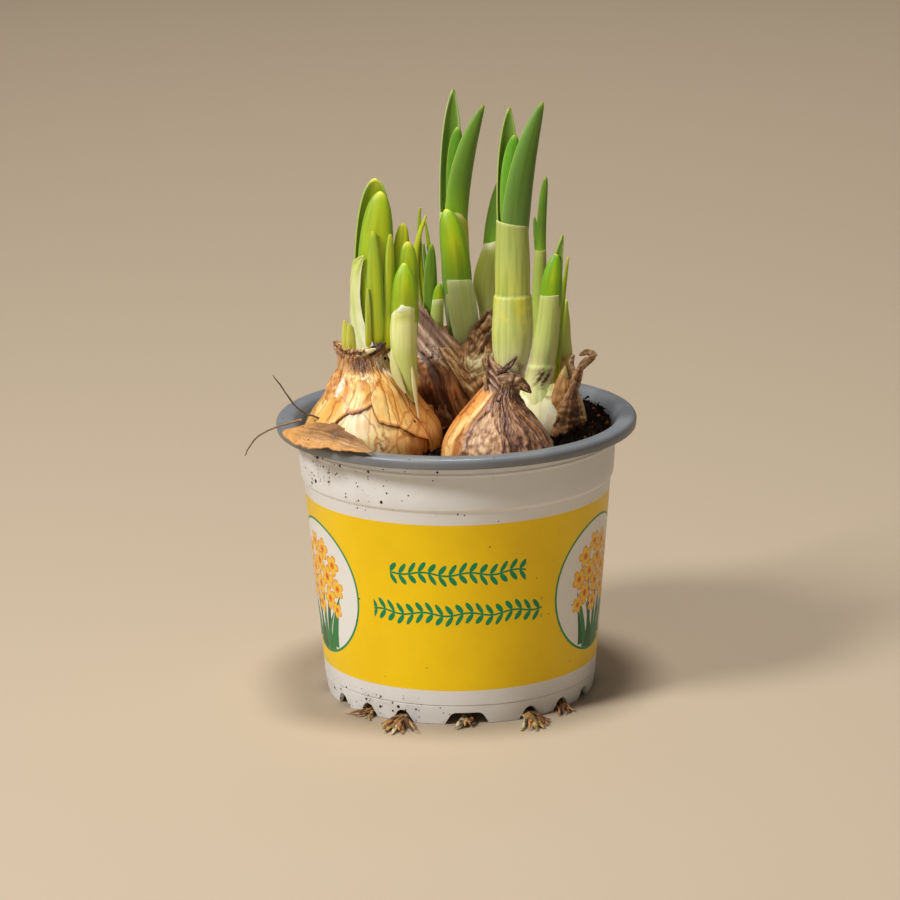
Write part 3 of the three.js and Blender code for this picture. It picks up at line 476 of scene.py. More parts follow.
def makePot():
    deselectAll()
    bpy.ops.mesh.primitive_plane_add(size=0.01)
    pot = bpy.context.object
    pot.name = pot.data.name = "potBody"
    bpy.ops.object.mode_set(mode="EDIT")
    bpy.ops.mesh.select_all(action="SELECT")
    bpy.ops.mesh.merge(type="CENTER")
    profile = potProfile()
    bpy.ops.transform.translate(value=(profile[0][0] * mm, 0, profile[0][1] * mm))
    for (r0, z0), (r1, z1) in zip(profile, profile[1:]):
        bpy.ops.mesh.extrude_region_move(
            TRANSFORM_OT_translate={"value": ((r1 - r0) * mm, 0, (z1 - z0) * mm)})
    bpy.ops.mesh.select_all(action="SELECT")
    bpy.ops.mesh.spin(
        steps=potLook["spinSteps"], angle=math.tau, center=(0, 0, 0), axis=(0, 0, 1), use_auto_merge=False)
    bpy.ops.mesh.select_all(action="SELECT")
    bpy.ops.mesh.remove_doubles(threshold=0.00002)
    bpy.ops.mesh.normals_make_consistent(inside=False)
    bpy.ops.object.mode_set(mode="OBJECT")
    cutters = []
    for quarter in range(4):
        start = footCut["first"] + quarter * 90
        cutters.append(makeFootCutter(start, footCut["wide"]))
        cutters += [makeFootCutter(start + step, footCut["narrow"]) for step in footCut["steps"]]
    for azimuth in [footCut["first"] + q * 90 + s for q in range(4) for s in (0, *footCut["steps"])]:
        spot = direction(azimuth) * 38.2 * mm
        deselectAll()
        bpy.ops.mesh.primitive_cylinder_add(vertices=24, radius=3 * mm, depth=4 * mm,
            location=(*spot.xy, 5.6 * mm))
        hole = bpy.context.object
        bpy.ops.object.transform_apply(location=True, rotation=True, scale=True)
        cutters.append(hole)
    cutter = joinAll(cutters, "cutter")
    pick(pot)
    bpy.ops.object.modifier_add(type="BOOLEAN")
    cut = pot.modifiers[-1]
    cut.operation, cut.object, cut.solver = "DIFFERENCE", cutter, "EXACT"
    bpy.ops.object.modifier_apply(modifier=cut.name)
    bpy.data.objects.remove(cutter)
    pick(pot)
    bpy.ops.object.shade_smooth_by_angle(angle=math.radians(32))
    return pot


# printed flowers and blades: flat, plain shapes of the printer's own kind, in millimetres on the wall
def makeFlowerGroup():
    group, given, result = newGroup(
        "printedFlower",
        [("Across", 0.0), ("Up", 0.0), ("X", 0.0), ("Y", 0.0), ("Radius", 4.0), ("Turn", 0.0)],
        ["Petals", "Shade", "Cup", "Eye"])
    dx = minus(group, given["Across"], given["X"])
    dy = minus(group, given["Up"], given["Y"])
    far = calc(group, "SQRT", plus(group, times(group, dx, dx), times(group, dy, dy)))
    share = calc(group, "DIVIDE", far, given["Radius"])
    angle = plus(group, calc(group, "ARCTAN2", dy, dx), given["Turn"])
    lobe = calc(group, "ABSOLUTE", calc(group, "COSINE", times(group, angle, 2.5)))
    reach = calc(group, "MULTIPLY_ADD", calc(group, "POWER", lobe, 0.6), 0.5, 0.5)
    within = minus(group, reach, share)
    group.links.new(ramp(group, within, -0.02, 0.02), result["Petals"])
    group.links.new(minus(group, 1.0, ramp(group, within, 0.02, 0.3)), result["Shade"])
    group.links.new(minus(group, 1.0, ramp(group, share, 0.3, 0.36)), result["Cup"])
    group.links.new(minus(group, 1.0, ramp(group, share, 0.1, 0.2)), result["Eye"])
    return group


def makeBladeGroup():
    group, given, result = newGroup(
        "printedBlade",
        [("Across", 0.0), ("Up", 0.0), ("X", 0.0), ("Y", 0.0), ("Lean", 0.0), ("Tall", 14.0), ("Width", 1.4)],
        ["Mask"])
    climb = calc(group, "DIVIDE", minus(group, given["Up"], given["Y"]), given["Tall"])
    swing = times(group, calc(group, "POWER", calc(group, "MAXIMUM", climb, 0.0), 1.6), given["Lean"])
    aside = calc(group, "ABSOLUTE", minus(group, minus(group, given["Across"], given["X"]), swing))
    left = calc(group, "MAXIMUM", minus(group, 1.0, climb), 0.0)
    room = times(group, calc(group, "POWER", left, 0.6), given["Width"])
    inside = ramp(group, minus(group, room, aside), 0.0, 0.12)
    standing = times(group, calc(group, "GREATER_THAN", climb, 0.0), calc(group, "LESS_THAN", climb, 1.0))
    group.links.new(times(group, inside, standing), result["Mask"])
    return group


bouquet = {
    # across, up, radius, turn
    "flowers": [
        (-2.5, 14.6, 3.6, 0.3), (4.2, 13.4, 4.0, 1.1), (-8.4, 10.6, 4.0, 0.7), (10.2, 9.0, 3.9, 0.1),
        (0.8, 8.8, 4.4, 0.5), (-5.2, 4.9, 4.2, 0.9), (6.0, 4.2, 4.5, 1.3), (-11.6, 3.4, 3.8, 0.2),
        (12.2, 1.2, 3.6, 0.8), (-0.2, 0.4, 4.3, 1.0), (-7.6, -2.2, 4.1, 0.4), (6.8, -3.2, 4.2, 0.6),
        (-1.2, -6.6, 3.8, 1.2), (-11.6, -5.4, 3.1, 0.0), (10.8, -6.4, 3.0, 0.5),
    ],
    # across, up, lean, tall, width
    "blades": [
        (-5.5, -22.5, -7.0, 22, 1.9), (-2.6, -23, -3.0, 27, 1.8), (0.4, -23, 1.2, 24, 1.9),
        (3.2, -23, 4.0, 27, 1.9), (5.8, -22, 8.0, 22, 1.8), (-0.8, -23, -5.5, 18, 1.8),
        (8.4, -20, 4.5, 17, 1.4), (-8.6, -20, -3.5, 16, 1.4), (1.8, -23, 7.0, 16, 1.7),
        (-4.0, -23, 1.5, 15, 1.8),
    ],
    "petal": (252, 206, 60), "petalShade": (232, 150, 24), "cup": (242, 140, 26), "eye": (204, 88, 14),
    "blade": (40, 128, 66), "bladeDark": (20, 92, 48),
}


def makePrintMaterial():
    material, tree, shader = newMaterial("printedWall")
    where = tree.nodes.new("ShaderNodeTexCoord").outputs["Object"]
    parts = addNode(tree, "ShaderNodeSeparateXYZ", Vector=where).outputs
    azimuth = calc(tree, "DEGREES", calc(tree, "ARCTAN2", parts[0], times(tree, parts[1], -1.0)))
    height = times(tree, parts[2], 1000.0)
    white = linear(*potLook["white"])
    scuff = addNode(tree, "ShaderNodeTexNoise", Vector=where, Scale=45.0, Detail=5.0, Roughness=0.6)
    dusty = mixColour(tree, times(tree, ramp(tree, scuff.outputs[0], 0.45, 0.8), 0.25), white,
        linear(196, 190, 178))
    bandIn = times(
        tree, ramp(tree, height, potLook["bandLow"] - 0.12, potLook["bandLow"] + 0.12),
        ramp(tree, height, potLook["bandHigh"] + 0.12, potLook["bandHigh"] - 0.12))
    yellow = mixColour(tree, ramp(tree, scuff.outputs[0], 0.3, 0.8), linear(*potLook["yellow"]),
        linear(244, 202, 4))
    colour = mixColour(tree, bandIn, dusty, yellow)
    green = linear(*potLook["green"])
    # two rows of leaf sprigs
    for index, (middle, level, halfLength) in enumerate(potLook["sprigRows"]):
        nearest = minus(tree, calc(tree, "WRAP", azimuth, 90.0, -90.0), middle)
        span = calc(tree, "ABSOLUTE", nearest)
        along = times(tree, nearest, perDegree)
        inRow = calc(tree, "LESS_THAN", span, halfLength)
        wave = times(tree, calc(tree, "SINE", times(tree, along, 0.42)), 0.55)
        up = minus(tree, minus(tree, height, level), wave)
        stem = calc(tree, "LESS_THAN", calc(tree, "ABSOLUTE", up), 0.33)
        step = 3.3
        cell = minus(tree, calc(tree, "MODULO", plus(tree, along, 330.0 + index * 1.1), step), step / 2)
        side = 1.0 if index == 0 else -1.0
        fold = calc(tree, "ABSOLUTE", up)
        slantX = minus(tree, times(tree, cell, side), times(tree, minus(tree, fold, 1.9), 0.55))
        leafAcross = calc(tree, "DIVIDE", slantX, 0.95)
        leafUp = calc(tree, "DIVIDE", minus(tree, fold, 1.95), 1.75)
        oval = plus(tree, times(tree, leafAcross, leafAcross), times(tree, leafUp, leafUp))
        leaf = minus(tree, 1.0, ramp(tree, oval, 0.85, 1.05))
        sprig = times(tree, calc(tree, "MAXIMUM", leaf, stem), inRow)
        colour = mixColour(tree, sprig, colour, green)
    # the two ovals, each with the same bouquet
    flowerGroup, bladeGroup = makeFlowerGroup(), makeBladeGroup()
    local = []
    for middle, level, halfWidth, halfHeight in potLook["ovals"]:
        across = times(tree, minus(tree, azimuth, middle), perDegree)
        up = minus(tree, height, level)
        wide = calc(tree, "DIVIDE", across, halfWidth * perDegree)
        tall = calc(tree, "DIVIDE", up, halfHeight)
        reach = calc(tree, "SQRT", plus(tree, times(tree, wide, wide), times(tree, tall, tall)))
        local.append((across, up, reach))
    isRight = calc(tree, "GREATER_THAN", azimuth, 0.0)
    across, up, reach = (
        addNode(tree, "ShaderNodeMix", {"data_type": "FLOAT"}, i0=isRight, i2=a, i3=b).outputs[0]
        for a, b in zip(local[0], local[1]))
    share = potLook["outlineShare"]
    ring = minus(tree, 1.0, ramp(tree, reach, 0.995, 1.005))
    paper = minus(tree, 1.0, ramp(tree, reach, share - 0.005, share + 0.005))
    colour = mixColour(tree, ring, colour, green)
    colour = mixColour(tree, paper, colour, linear(236, 236, 232))
    for index, (x, y, lean, tall, width) in enumerate(bouquet["blades"]):
        mask = useGroup(tree, bladeGroup, Across=across, Up=up, X=x, Y=y, Lean=lean, Tall=tall,
            Width=width)["Mask"]
        green = linear(*bouquet["bladeDark" if index % 2 else "blade"])
        colour = mixColour(tree, times(tree, mask, paper), colour, green)
    for x, y, radius, turn in bouquet["flowers"]:
        flower = useGroup(tree, flowerGroup, Across=across, Up=up, X=x, Y=y, Radius=radius, Turn=turn)
        petal = mixColour(tree, flower["Shade"], linear(*bouquet["petal"]), linear(*bouquet["petalShade"]))
        petal = mixColour(tree, flower["Cup"], petal, linear(*bouquet["cup"]))
        petal = mixColour(tree, flower["Eye"], petal, linear(*bouquet["eye"]))
        colour = mixColour(tree, times(tree, flower["Petals"], paper), colour, petal)
    # dirt specks, and a grey-brown darkening over the same places: thick on the upper left under the rim and
    # on the left of the foot, thin elsewhere
    foot = times(tree, ramp(tree, height, 10.5, 5.0), softLine(tree, azimuth, -44.0, 52.0))
    clump = times(tree, ramp(tree, height, 75.0, 81.0), softLine(tree, azimuth, -62.0, 32.0))
    trail = times(tree, ramp(tree, height, 70.0, 76.0), softLine(tree, azimuth, -30.0, 34.0))
    cloud = addNode(tree, "ShaderNodeTexNoise", Vector=where, Scale=130.0, Detail=2.0)
    patchy = ramp(tree, cloud.outputs[0], 0.4, 0.6)
    dense = calc(tree, "MAXIMUM", calc(tree, "MAXIMUM", foot, clump), times(tree, trail, 0.3))
    dense = times(tree, dense, calc(tree, "MULTIPLY_ADD", patchy, 0.7, 0.3))
    dirt = 0.0
    for scale, most in ((300.0, 0.8), (520.0, 0.95), (1000.0, 0.8)):
        amount = calc(tree, "MULTIPLY_ADD", dense, most, 0.003)
        dirt = calc(tree, "MAXIMUM", dirt, useGroup(tree, speckGroup, Scale=scale, Amount=amount)["Mask"])
    colour = mixColour(tree, dirt, colour, linear(40, 28, 20))
    # a grey-brown darkening in the same places, most under the rim on the upper left and low on the left of
    # the foot
    greyBrownDarkening = times(tree, times(tree, dense, patchy), 0.22)
    colour = mixColour(tree, greyBrownDarkening, colour, linear(150, 128, 104))
    seam = times(tree, softLine(tree, height, 6.6, 0.22), 0.35)
    colour = mixColour(tree, seam, colour, linear(150, 136, 120))
    tree.links.new(colour, shader.inputs["Base Color"])
    ripple = addNode(tree, "ShaderNodeTexNoise", Vector=where, Scale=70.0, Detail=2.0)
    bump = addNode(tree, "ShaderNodeBump", Height=plus(tree, ripple.outputs[0], dirt), Strength=0.12,
        Distance=0.0004)
    tree.links.new(bump.outputs[0], shader.inputs["Normal"])
    shader.inputs["Specular IOR Level"].default_value = 0.3
    gloss = addNode(tree, "ShaderNodeMapRange", Value=bandIn)
    gloss.inputs["To Min"].default_value = 0.42
    gloss.inputs["To Max"].default_value = 0.36
    tree.links.new(calc(tree, "MAXIMUM", gloss.outputs[0], times(tree, dirt, 0.9)),
        shader.inputs["Roughness"])
    return material


def makeGreyMaterial():
    material, tree, shader = newMaterial("greyPlastic")
    where = tree.nodes.new("ShaderNodeTexCoord").outputs["Object"]
    cloud = addNode(tree, "ShaderNodeTexNoise", Vector=where, Scale=60.0, Detail=4.0)
    scuffs = addNode(tree, "ShaderNodeTexNoise", Vector=where, Scale=420.0, Detail=3.0, Roughness=0.7)
    colour = mixColour(tree, ramp(tree, cloud.outputs[0], 0.35, 0.7), linear(*potLook["grey"]),
        linear(126, 129, 133))
    dust = times(tree, ramp(tree, scuffs.outputs[0], 0.6, 0.78), 0.3)
    colour = mixColour(tree, dust, colour, linear(160, 156, 148))
    specks = useGroup(tree, speckGroup, Scale=520.0, Amount=0.02)["Mask"]
    colour = mixColour(tree, specks, colour, linear(30, 25, 22))
    tree.links.new(colour, shader.inputs["Base Color"])
    bump = addNode(tree, "ShaderNodeBump", Height=scuffs.outputs[0], Strength=0.1, Distance=0.0002)
    tree.links.new(bump.outputs[0], shader.inputs["Normal"])
    tree.links.new(
        calc(tree, "MULTIPLY_ADD", cloud.outputs[0], 0.2, 0.3), shader.inputs["Roughness"])
    return material


pot = makePot()
pot.data.materials.clear()
pot.data.materials.append(makeGreyMaterial())
pot.data.materials.append(makePrintMaterial())
for face in pot.data.polygons:  # the white outside: faces that look out or down, below the rolled rim
    middle = face.center / mm
    out = Vector((middle.x, middle.y, 0)).normalized().dot(face.normal)
    reach = math.hypot(middle.x, middle.y)
    outside = out > 0.05 and reach > 45 + 0.08 * (middle.z - 8)
    face.material_index = 1 if middle.z < potLook["outsideTop"] and (outside or middle.z < 5.6) else 0
place(pot, "pot_plastic", "pot")
print("pot ready")


# soil: a lumpy top, plain sides, and crumbs

soilLook = {
    "height": 86.6, "slope": 4.2, "rightRise": 2.2, "crumbs": 2600, "seed": 5,
    "tones": [(14, 9, 6), (26, 17, 11), (58, 34, 18), (124, 74, 36), (168, 112, 60)],
    "toneShares": [0.42, 0.68, 0.86, 0.97, 1.0],
}


def soilTop(x, y):
    slope = soilLook["slope"] * (0.7 * x + 0.5 * y) / 50 + soilLook["rightRise"] * ease(24, 46, x)
    return soilLook["height"] + slope + (0.9 * rough(x * 0.16, y * 0.16) + 0.9 * rough(x * 0.6, y * 0.6, 3))


def soilPlace(u, v):
    angle = u * math.tau
    if v < 0.12:
        return 43 * (v / 0.12) * math.cos(angle), 43 * (v / 0.12) * math.sin(angle), 6.6
    if v < 0.3:
        share = (v - 0.12) / 0.18
        z = mix(6.6, soilLook["height"] - 1, share)
        radius = lineAt([(6.6, 43), (8, 44.3), (73.8, 50), (75.2, 50.8), (90, 51.6)], z)
        return radius * math.cos(angle), radius * math.sin(angle), z
    share = 1 - (v - 0.3) / 0.7
    radius = 51.5 * share
    x, y = radius * math.cos(angle), radius * math.sin(angle)
    return x, y, soilTop(x, y) - 1.6 * ease(0.93, 1, share)


def soilPaint(u, v):
    x, y = soilPlace(u, v)[:2]
    tone = 0.5 + 0.5 * rough(x * 0.8, y * 0.8, 9)
    return mix((12, 8, 6), (38, 25, 16), tone ** 2)


def addLump(spot, size, colour, rand):
    deselectAll()
    bpy.ops.mesh.primitive_ico_sphere_add(subdivisions=1, radius=size * mm, location=(0, 0, 0))
    lump = bpy.context.object
    tint = lump.data.attributes.new("tint", "FLOAT_COLOR", "POINT")
    squash = Vector((rand.uniform(0.6, 1.3), rand.uniform(0.6, 1.3), rand.uniform(0.45, 0.95)))
    turn = Matrix.Rotation(rand.uniform(0, 6.28), 4,
        Vector((rand.random(), rand.random(), rand.random() + 0.1)))
    for vertex in lump.data.vertices:
        shaped = vertex.co * rand.uniform(0.75, 1.25)
        shaped = turn @ Vector((shaped.x * squash.x, shaped.y * squash.y, shaped.z * squash.z))
        vertex.co = shaped + Vector(spot) * mm
        tint.data[vertex.index].color = linear(*colour)
    return lump


def crumbTone(rand):
    draw = rand.random()
    for tone, share in zip(soilLook["tones"], soilLook["toneShares"]):
        if draw <= share:
            return tuple(value * rand.uniform(0.8, 1.2) for value in tone)


def copyLumps(models, spots, name):  # copies with their own places, joined into one piece
    coordinates, faces, colours = [], [], []
    for model, spot, turn, size in spots:
        start = len(coordinates)
        mesh = models[model].data
        spin = Matrix.Rotation(turn, 4, "Z") @ Matrix.Rotation(turn * 1.7, 4, "X")
        for vertex in mesh.vertices:
            coordinates.append(spin @ vertex.co * size + Vector(spot) * mm)
            colours.append(tuple(mesh.attributes["tint"].data[vertex.index].color))
        faces += [[start + index for index in face.vertices] for face in mesh.polygons]
    for model in models:
        bpy.data.objects.remove(model)
    mesh = bpy.data.meshes.new(name)
    mesh.from_pydata(coordinates, [], faces)
    tint = mesh.attributes.new("tint", "FLOAT_COLOR", "POINT")
    for index, colour in enumerate(colours):
        tint.data[index].color = colour
    mesh.uv_layers.new(name="UVMap")
    lumps = bpy.data.objects.new(name, mesh)
    bpy.context.scene.collection.objects.link(lumps)
    return lumps


finishPiece(addSheet("soilBody", 150, 120, soilPlace, soilPaint, closed=True), crumbMaterial, "peat", "soil")

rand = random.Random(soilLook["seed"])
models = [addLump((0, 0, 0), 0.8, crumbTone(rand), rand) for _ in range(16)]
spots = []
for _ in range(soilLook["crumbs"]):
    radius = 51 * math.sqrt(rand.random())
    angle = rand.uniform(0, math.tau)
    x, y = radius * math.cos(angle), radius * math.sin(angle)
    size = 0.35 + 0.9 * rand.random() ** 4
    spots.append((rand.randrange(16), (x, y, soilTop(x, y) + 0.2 * size), rand.uniform(0, 6), size))
finishPiece(copyLumps(models, spots, "soilCrumbs"), crumbMaterial, "peat")
print("soil ready")


# bulbs

leftLevels = [
    [64, -27.4, -6, 0.1, 0.1], [66, -27.4, -6, 9, 9], [70, -27.4, -6, 16.4, 15.8],
    [76, -27.5, -6, 20.6, 19.6], [82, -27.6, -6, 22.4, 21.1], [88, -27.7, -6, 22.9, 21.6],
    [92, -27.9, -6, 22.3, 21.2], [96.2, -28.2, -6, 20, 19.5], [100.8, -28.3, -6.2, 16.6, 17],
    [105.9, -28, -6.5, 13.4, 14.2], [109, -28.6, -6.8, 11.0, 12.4], [112, -29.6, -7.1, 8.9, 10.2],
    [115, -30.3, -7.6, 7.9, 8.8], [118, -30.6, -8, 8.0, 8.4], [120.2, -30.7, -8, 8.8, 8.8],
]
frontLevels = [
    [66, 13, -28.3, 0.1, 0.1], [68, 13, -28.4, 9, 8.6], [72, 13, -28.4, 14, 13.4],
    [78, 13.2, -28.6, 17.4, 16.3], [83, 13.3, -28.7, 18.8, 17.7], [88, 13.3, -28.8, 18.9, 18],
    [93, 12.9, -28.6, 17.4, 17], [97.9, 12.7, -28.4, 14.4, 14.8], [101, 12.7, -28.2, 12.0, 12.8],
    [104.5, 12.9, -28, 9.2, 10.6], [107.4, 13.5, -27.8, 7.2, 8.8], [110, 14.8, -27.6, 6.2, 7.2],
    [113, 15.3, -27.4, 6.1, 6.6], [116, 15.5, -27.3, 6.1, 6.2], [122, 16.2, -27.2, 6.5, 6.0],
]
backLevels = [
    [66, 0.5, 27, 0.1, 0.1], [68, 0.5, 27, 9, 9], [72, 0.6, 27, 14.6, 14.6], [78, 0.8, 27, 18, 17.8],
    [84, 1, 27, 19.4, 19], [90, 1, 27, 19.6, 19], [96, 1, 26.6, 18.4, 17.6], [102, 1, 26.2, 16, 15.4],
    [108, 1.3, 25.8, 13.8, 13], [113, 2, 25.4, 12.2, 11.2], [117.2, 3, 25.4, 10.8, 9.8],
]
rightLevels = [
    [67, 28.5, 3, 0.1, 0.1], [69, 28.5, 3, 8, 8], [73, 28.5, 3, 12, 12], [80, 28.6, 3, 14.4, 14.2],
    [86, 28.8, 3, 15, 14.5], [91, 28.8, 3, 14.9, 14.2], [96, 28.6, 3, 14, 12.8], [100, 28.7, 2.8, 12.4, 11.4],
    [103, 29.2, 2.5, 10.6, 9.8], [105, 29.6, 2.2, 9.0, 8.6],
]


def aroundFrom(u):  # columns lie closer together at the front, where the wrinkles show
    share = u - 0.5
    return 360 * share - 0.42 * 360 / math.tau * math.sin(math.tau * share)


def onBulb(levels, azimuth, z, lift=0.0):
    x, y, rx, ry = curveAt(levels, z)
    angle = math.radians(azimuth)
    return Vector((x + (rx + lift) * math.sin(angle), y - (ry + lift) * math.cos(angle), z))


def addBody(name, levels, relief, paint, sides=150, rings=130, inset=0.0, top=None):
    low = levels[0][0]

    def spot(u, v):
        azimuth = aroundFrom(u)
        high = top(azimuth) if top else levels[-1][0]
        if v <= 0.9:
            z = mix(low, high, (v / 0.9) ** 0.9)
            start = ease(low, low + 8, z)
            return azimuth, z, onBulb(levels, azimuth, z, start * relief(azimuth, z) - inset)
        share = (v - 0.9) / 0.1
        edge = onBulb(levels, azimuth, high, relief(azimuth, high) - inset)
        middle = Vector((levels[-1][1], levels[-1][2], levels[-1][0] - 4))
        inner = edge.lerp(middle, share)
        inner.z = mix(edge.z, middle.z, share ** 0.5) - 1.2 * math.sin(share * math.pi)
        return azimuth, mix(high, high + 1, share), inner

    return addSheet(
        name, sides, rings, lambda u, v: spot(u, v)[2], lambda u, v: paint(*spot(u, v)[:2]), closed=True)


# a loose layer of skin round a bulb, from a lower torn edge to an upper one
def addSkin(name, levels, lower, upper, relief, paint, wall=0.5, across=60, along=50, lift=0.35, flare=0.9):
    def spot(u, v):
        azimuth = aroundFrom(u)
        z = mix(lower(azimuth), upper(azimuth), v)
        loose = (1 - min(v / 0.1, 1)) ** 2 * (0.6 + 0.6 * rough(azimuth * 0.1, z * 0.3, 4))
        return azimuth, z, onBulb(levels, azimuth, z, relief(azimuth, z) + lift + flare * loose)
    return addSheet(
        name, across, along, lambda u, v: spot(u, v)[2], lambda u, v: paint(*spot(u, v)[:2]), wall=wall,
        edgeWall=1,
        closed=True)


# a dry frill round a neck: a wrapped strip whose upper edge is torn
def addFrill(name, centre, radius, low, high, paint, seed, flare=1.5, ragged=1.6):
    def spot(u, v):
        azimuth = u * 360
        ring = math.sin(math.radians(azimuth)) * 3, math.cos(math.radians(azimuth)) * 3
        torn = ragged * (rough(ring[0], ring[1], seed) + 0.6 * rough(ring[0] * 4, ring[1] * 4, seed + 3))
        z = mix(low, high + torn, v)
        ruffle = 0.6 * rough(ring[0] * 2, ring[1] * 2, v * 1.5 + seed) + 0.3 * rough(ring[0] * 6, ring[1] * 6,
            v * 3)
        reach = mix(radius[0], radius[1], v) + ruffle * (0.4 + v)
        reach += flare * v ** 2 * (0.5 + 0.5 * rough(ring[0], ring[1], seed + 8))
        outward = direction(azimuth)
        return Vector((centre[0] + outward.x * reach, centre[1] + outward.y * reach, z))
    return addSheet(name, 130, 16, spot, lambda u, v: paint(u * 360, v), wall=0.4, edgeWall=1, closed=True)


# a leaf, flap or husk: a cupped blade along a line from its base past a bend to its tip
def bladePlace(leaf):
    base, bend, tip = (Vector(point) for point in leaf["line"])
    outward = Vector(leaf["out"]).normalized() if "out" in leaf else direction(leaf.get("facing", 0))
    half, cup, thick = leaf["half"], leaf.get("cup", 1.2), leaf.get("thick", 1.1)
    waist, taper = leaf.get("waist", 1), leaf.get("taper", (2.3, 0.72))
    ripple, seed = leaf.get("ripple", 0), leaf.get("seed", 1)
    spread = math.radians(80)

    def spot(u, v):
        t = 1 - (1 - v) ** 1.35
        centre = base * (1 - t) ** 2 + bend * 2 * t * (1 - t) + tip * t * t
        along = ((bend - base) * (1 - t) + (tip - bend) * t).normalized()
        across = along.cross(outward).normalized()
        away = across.cross(along)
        swell = waist + (1 - waist) * math.sin(min(1, t / leaf.get("full", 0.45)) * math.pi / 2)
        width = max(half * swell * max(0, 1 - t ** taper[0]) ** taper[1], 0.22)
        width += leaf.get("torn", 0) * rough(t * 9, (u > 0.5) * 4, seed) * math.sin(t * math.pi)
        depth = cup * min(1, width / half)
        angle = spread * (2 * u - 1)
        rise = depth * math.cos(angle) - thick / 2
        rise += ripple * rough(u * 2.2, t * 7, seed) * min(1, width / half)
        side = width * math.sin(angle) / math.sin(spread)
        return centre + across * side + away * rise
    return spot


def addBlade(name, leaf, paint, across=14, along=34):
    return addSheet(
        name, across, along, bladePlace(leaf), paint, wall=leaf.get("thick", 1.1) * 0.85,
        edgeWall=leaf.get("edgeWall", 0.45))


# left bulb: golden outer skin, torn open at the front over a cream one
leftSkin = {
    "tornEdge": [
        (-180, 70), (-48, 70), (-42, 84), (-38, 93.5), (-35.6, 97.1), (-27.7, 99.6), (-12.8, 100.6),
        (0.5, 102.8), (2, 102.6), (5.2, 99.8), (8.7, 97.5), (25, 95.9), (30.6, 94.9), (38.1, 92.5),
        (53.3, 90.1), (56, 84), (62, 70), (180, 70)],
    "gold": (238, 178, 88), "goldLight": (254, 218, 140), "goldPaintedShade": (190, 118, 50), "vein": (150, 82, 34),
    "cream": (252, 222, 158), "creamLight": (255, 242, 206), "peach": (238, 176, 98), "rust": (178, 102, 42),
    "scar": (150, 112, 96), "paleBand": (255, 240, 200), "whiteFlesh": (246, 228, 204),
}
goldVeins = [
    [(-21, 109.3), (-25.6, 103.3), (-28.2, 99.2)], [(0.7, 109.8), (0.8, 105), (1.9, 102.9)],
    [(20, 108.5), (21.5, 102), (20, 96)], [(33.5, 108.4), (32, 101), (29.5, 95.9)],
    [(-47.4, 103.7), (-44.8, 97.4), (-44, 86)], [(44, 106.9), (52.5, 96.5), (58, 88)],
    [(-64, 106), (-66, 96), (-66, 84)], [(-84, 107), (-88, 95), (-90, 82)], [(72, 106), (76, 95), (78, 84)],
    [(96, 107), (100, 95), (100, 82)], [(124, 106), (126, 94), (127, 82)], [(150, 107), (152, 94), (152, 80)],
    [(-112, 106), (-116, 94), (-116, 82)], [(-140, 106), (-143, 94), (-144, 82)],
    [(-166, 107), (-168, 94), (-168, 80)],
]
creamVeins = [
    [(0.5, 101), (-2, 95), (-3.2, 86)], [(28.9, 95.9), (30.2, 91), (28.7, 84)],
    [(-22, 99), (-24, 92), (-24, 84)], [(12, 97), (13, 90), (13, 84)], [(44, 91), (46, 86), (46, 82)],
]


def veinAt(veins, azimuth, z, reach):
    strength = 0
    for vein in veins:
        low, high = vein[-1][1], vein[0][1]
        if low - 1 < z < high + 1:
            line = [(height, where) for where, height in reversed(vein)]
            away = abs(azimuth - lineAt(line, z) - 0.8 * rough(z * 0.6, vein[0][0]))
            strength = max(strength, (1 - away / reach) * min(1, (z - low + 1) / 3, (high + 1 - z) / 2))
    return max(0, strength)


def leftRelief(azimuth, z):
    folds = 0.24 * rough(azimuth * 0.055, z * 0.03, 2, 2) + 0.08 * rough(azimuth * 0.25, z * 0.06, 8, 2)
    neck = ease(107, 112, z) * (0.5 * rough(azimuth * 0.13, z * 0.2, 5) + 0.3
        * rough(azimuth * 0.42, z * 0.35, 6))
    ledge = 0.5 * near(z, 110.6, 1.6) * near(azimuth, 0, 60) * (0.6 + rough(azimuth * 0.3, z))
    return folds + neck + ledge - 0.22 * veinAt(goldVeins, azimuth, z, 2.4)


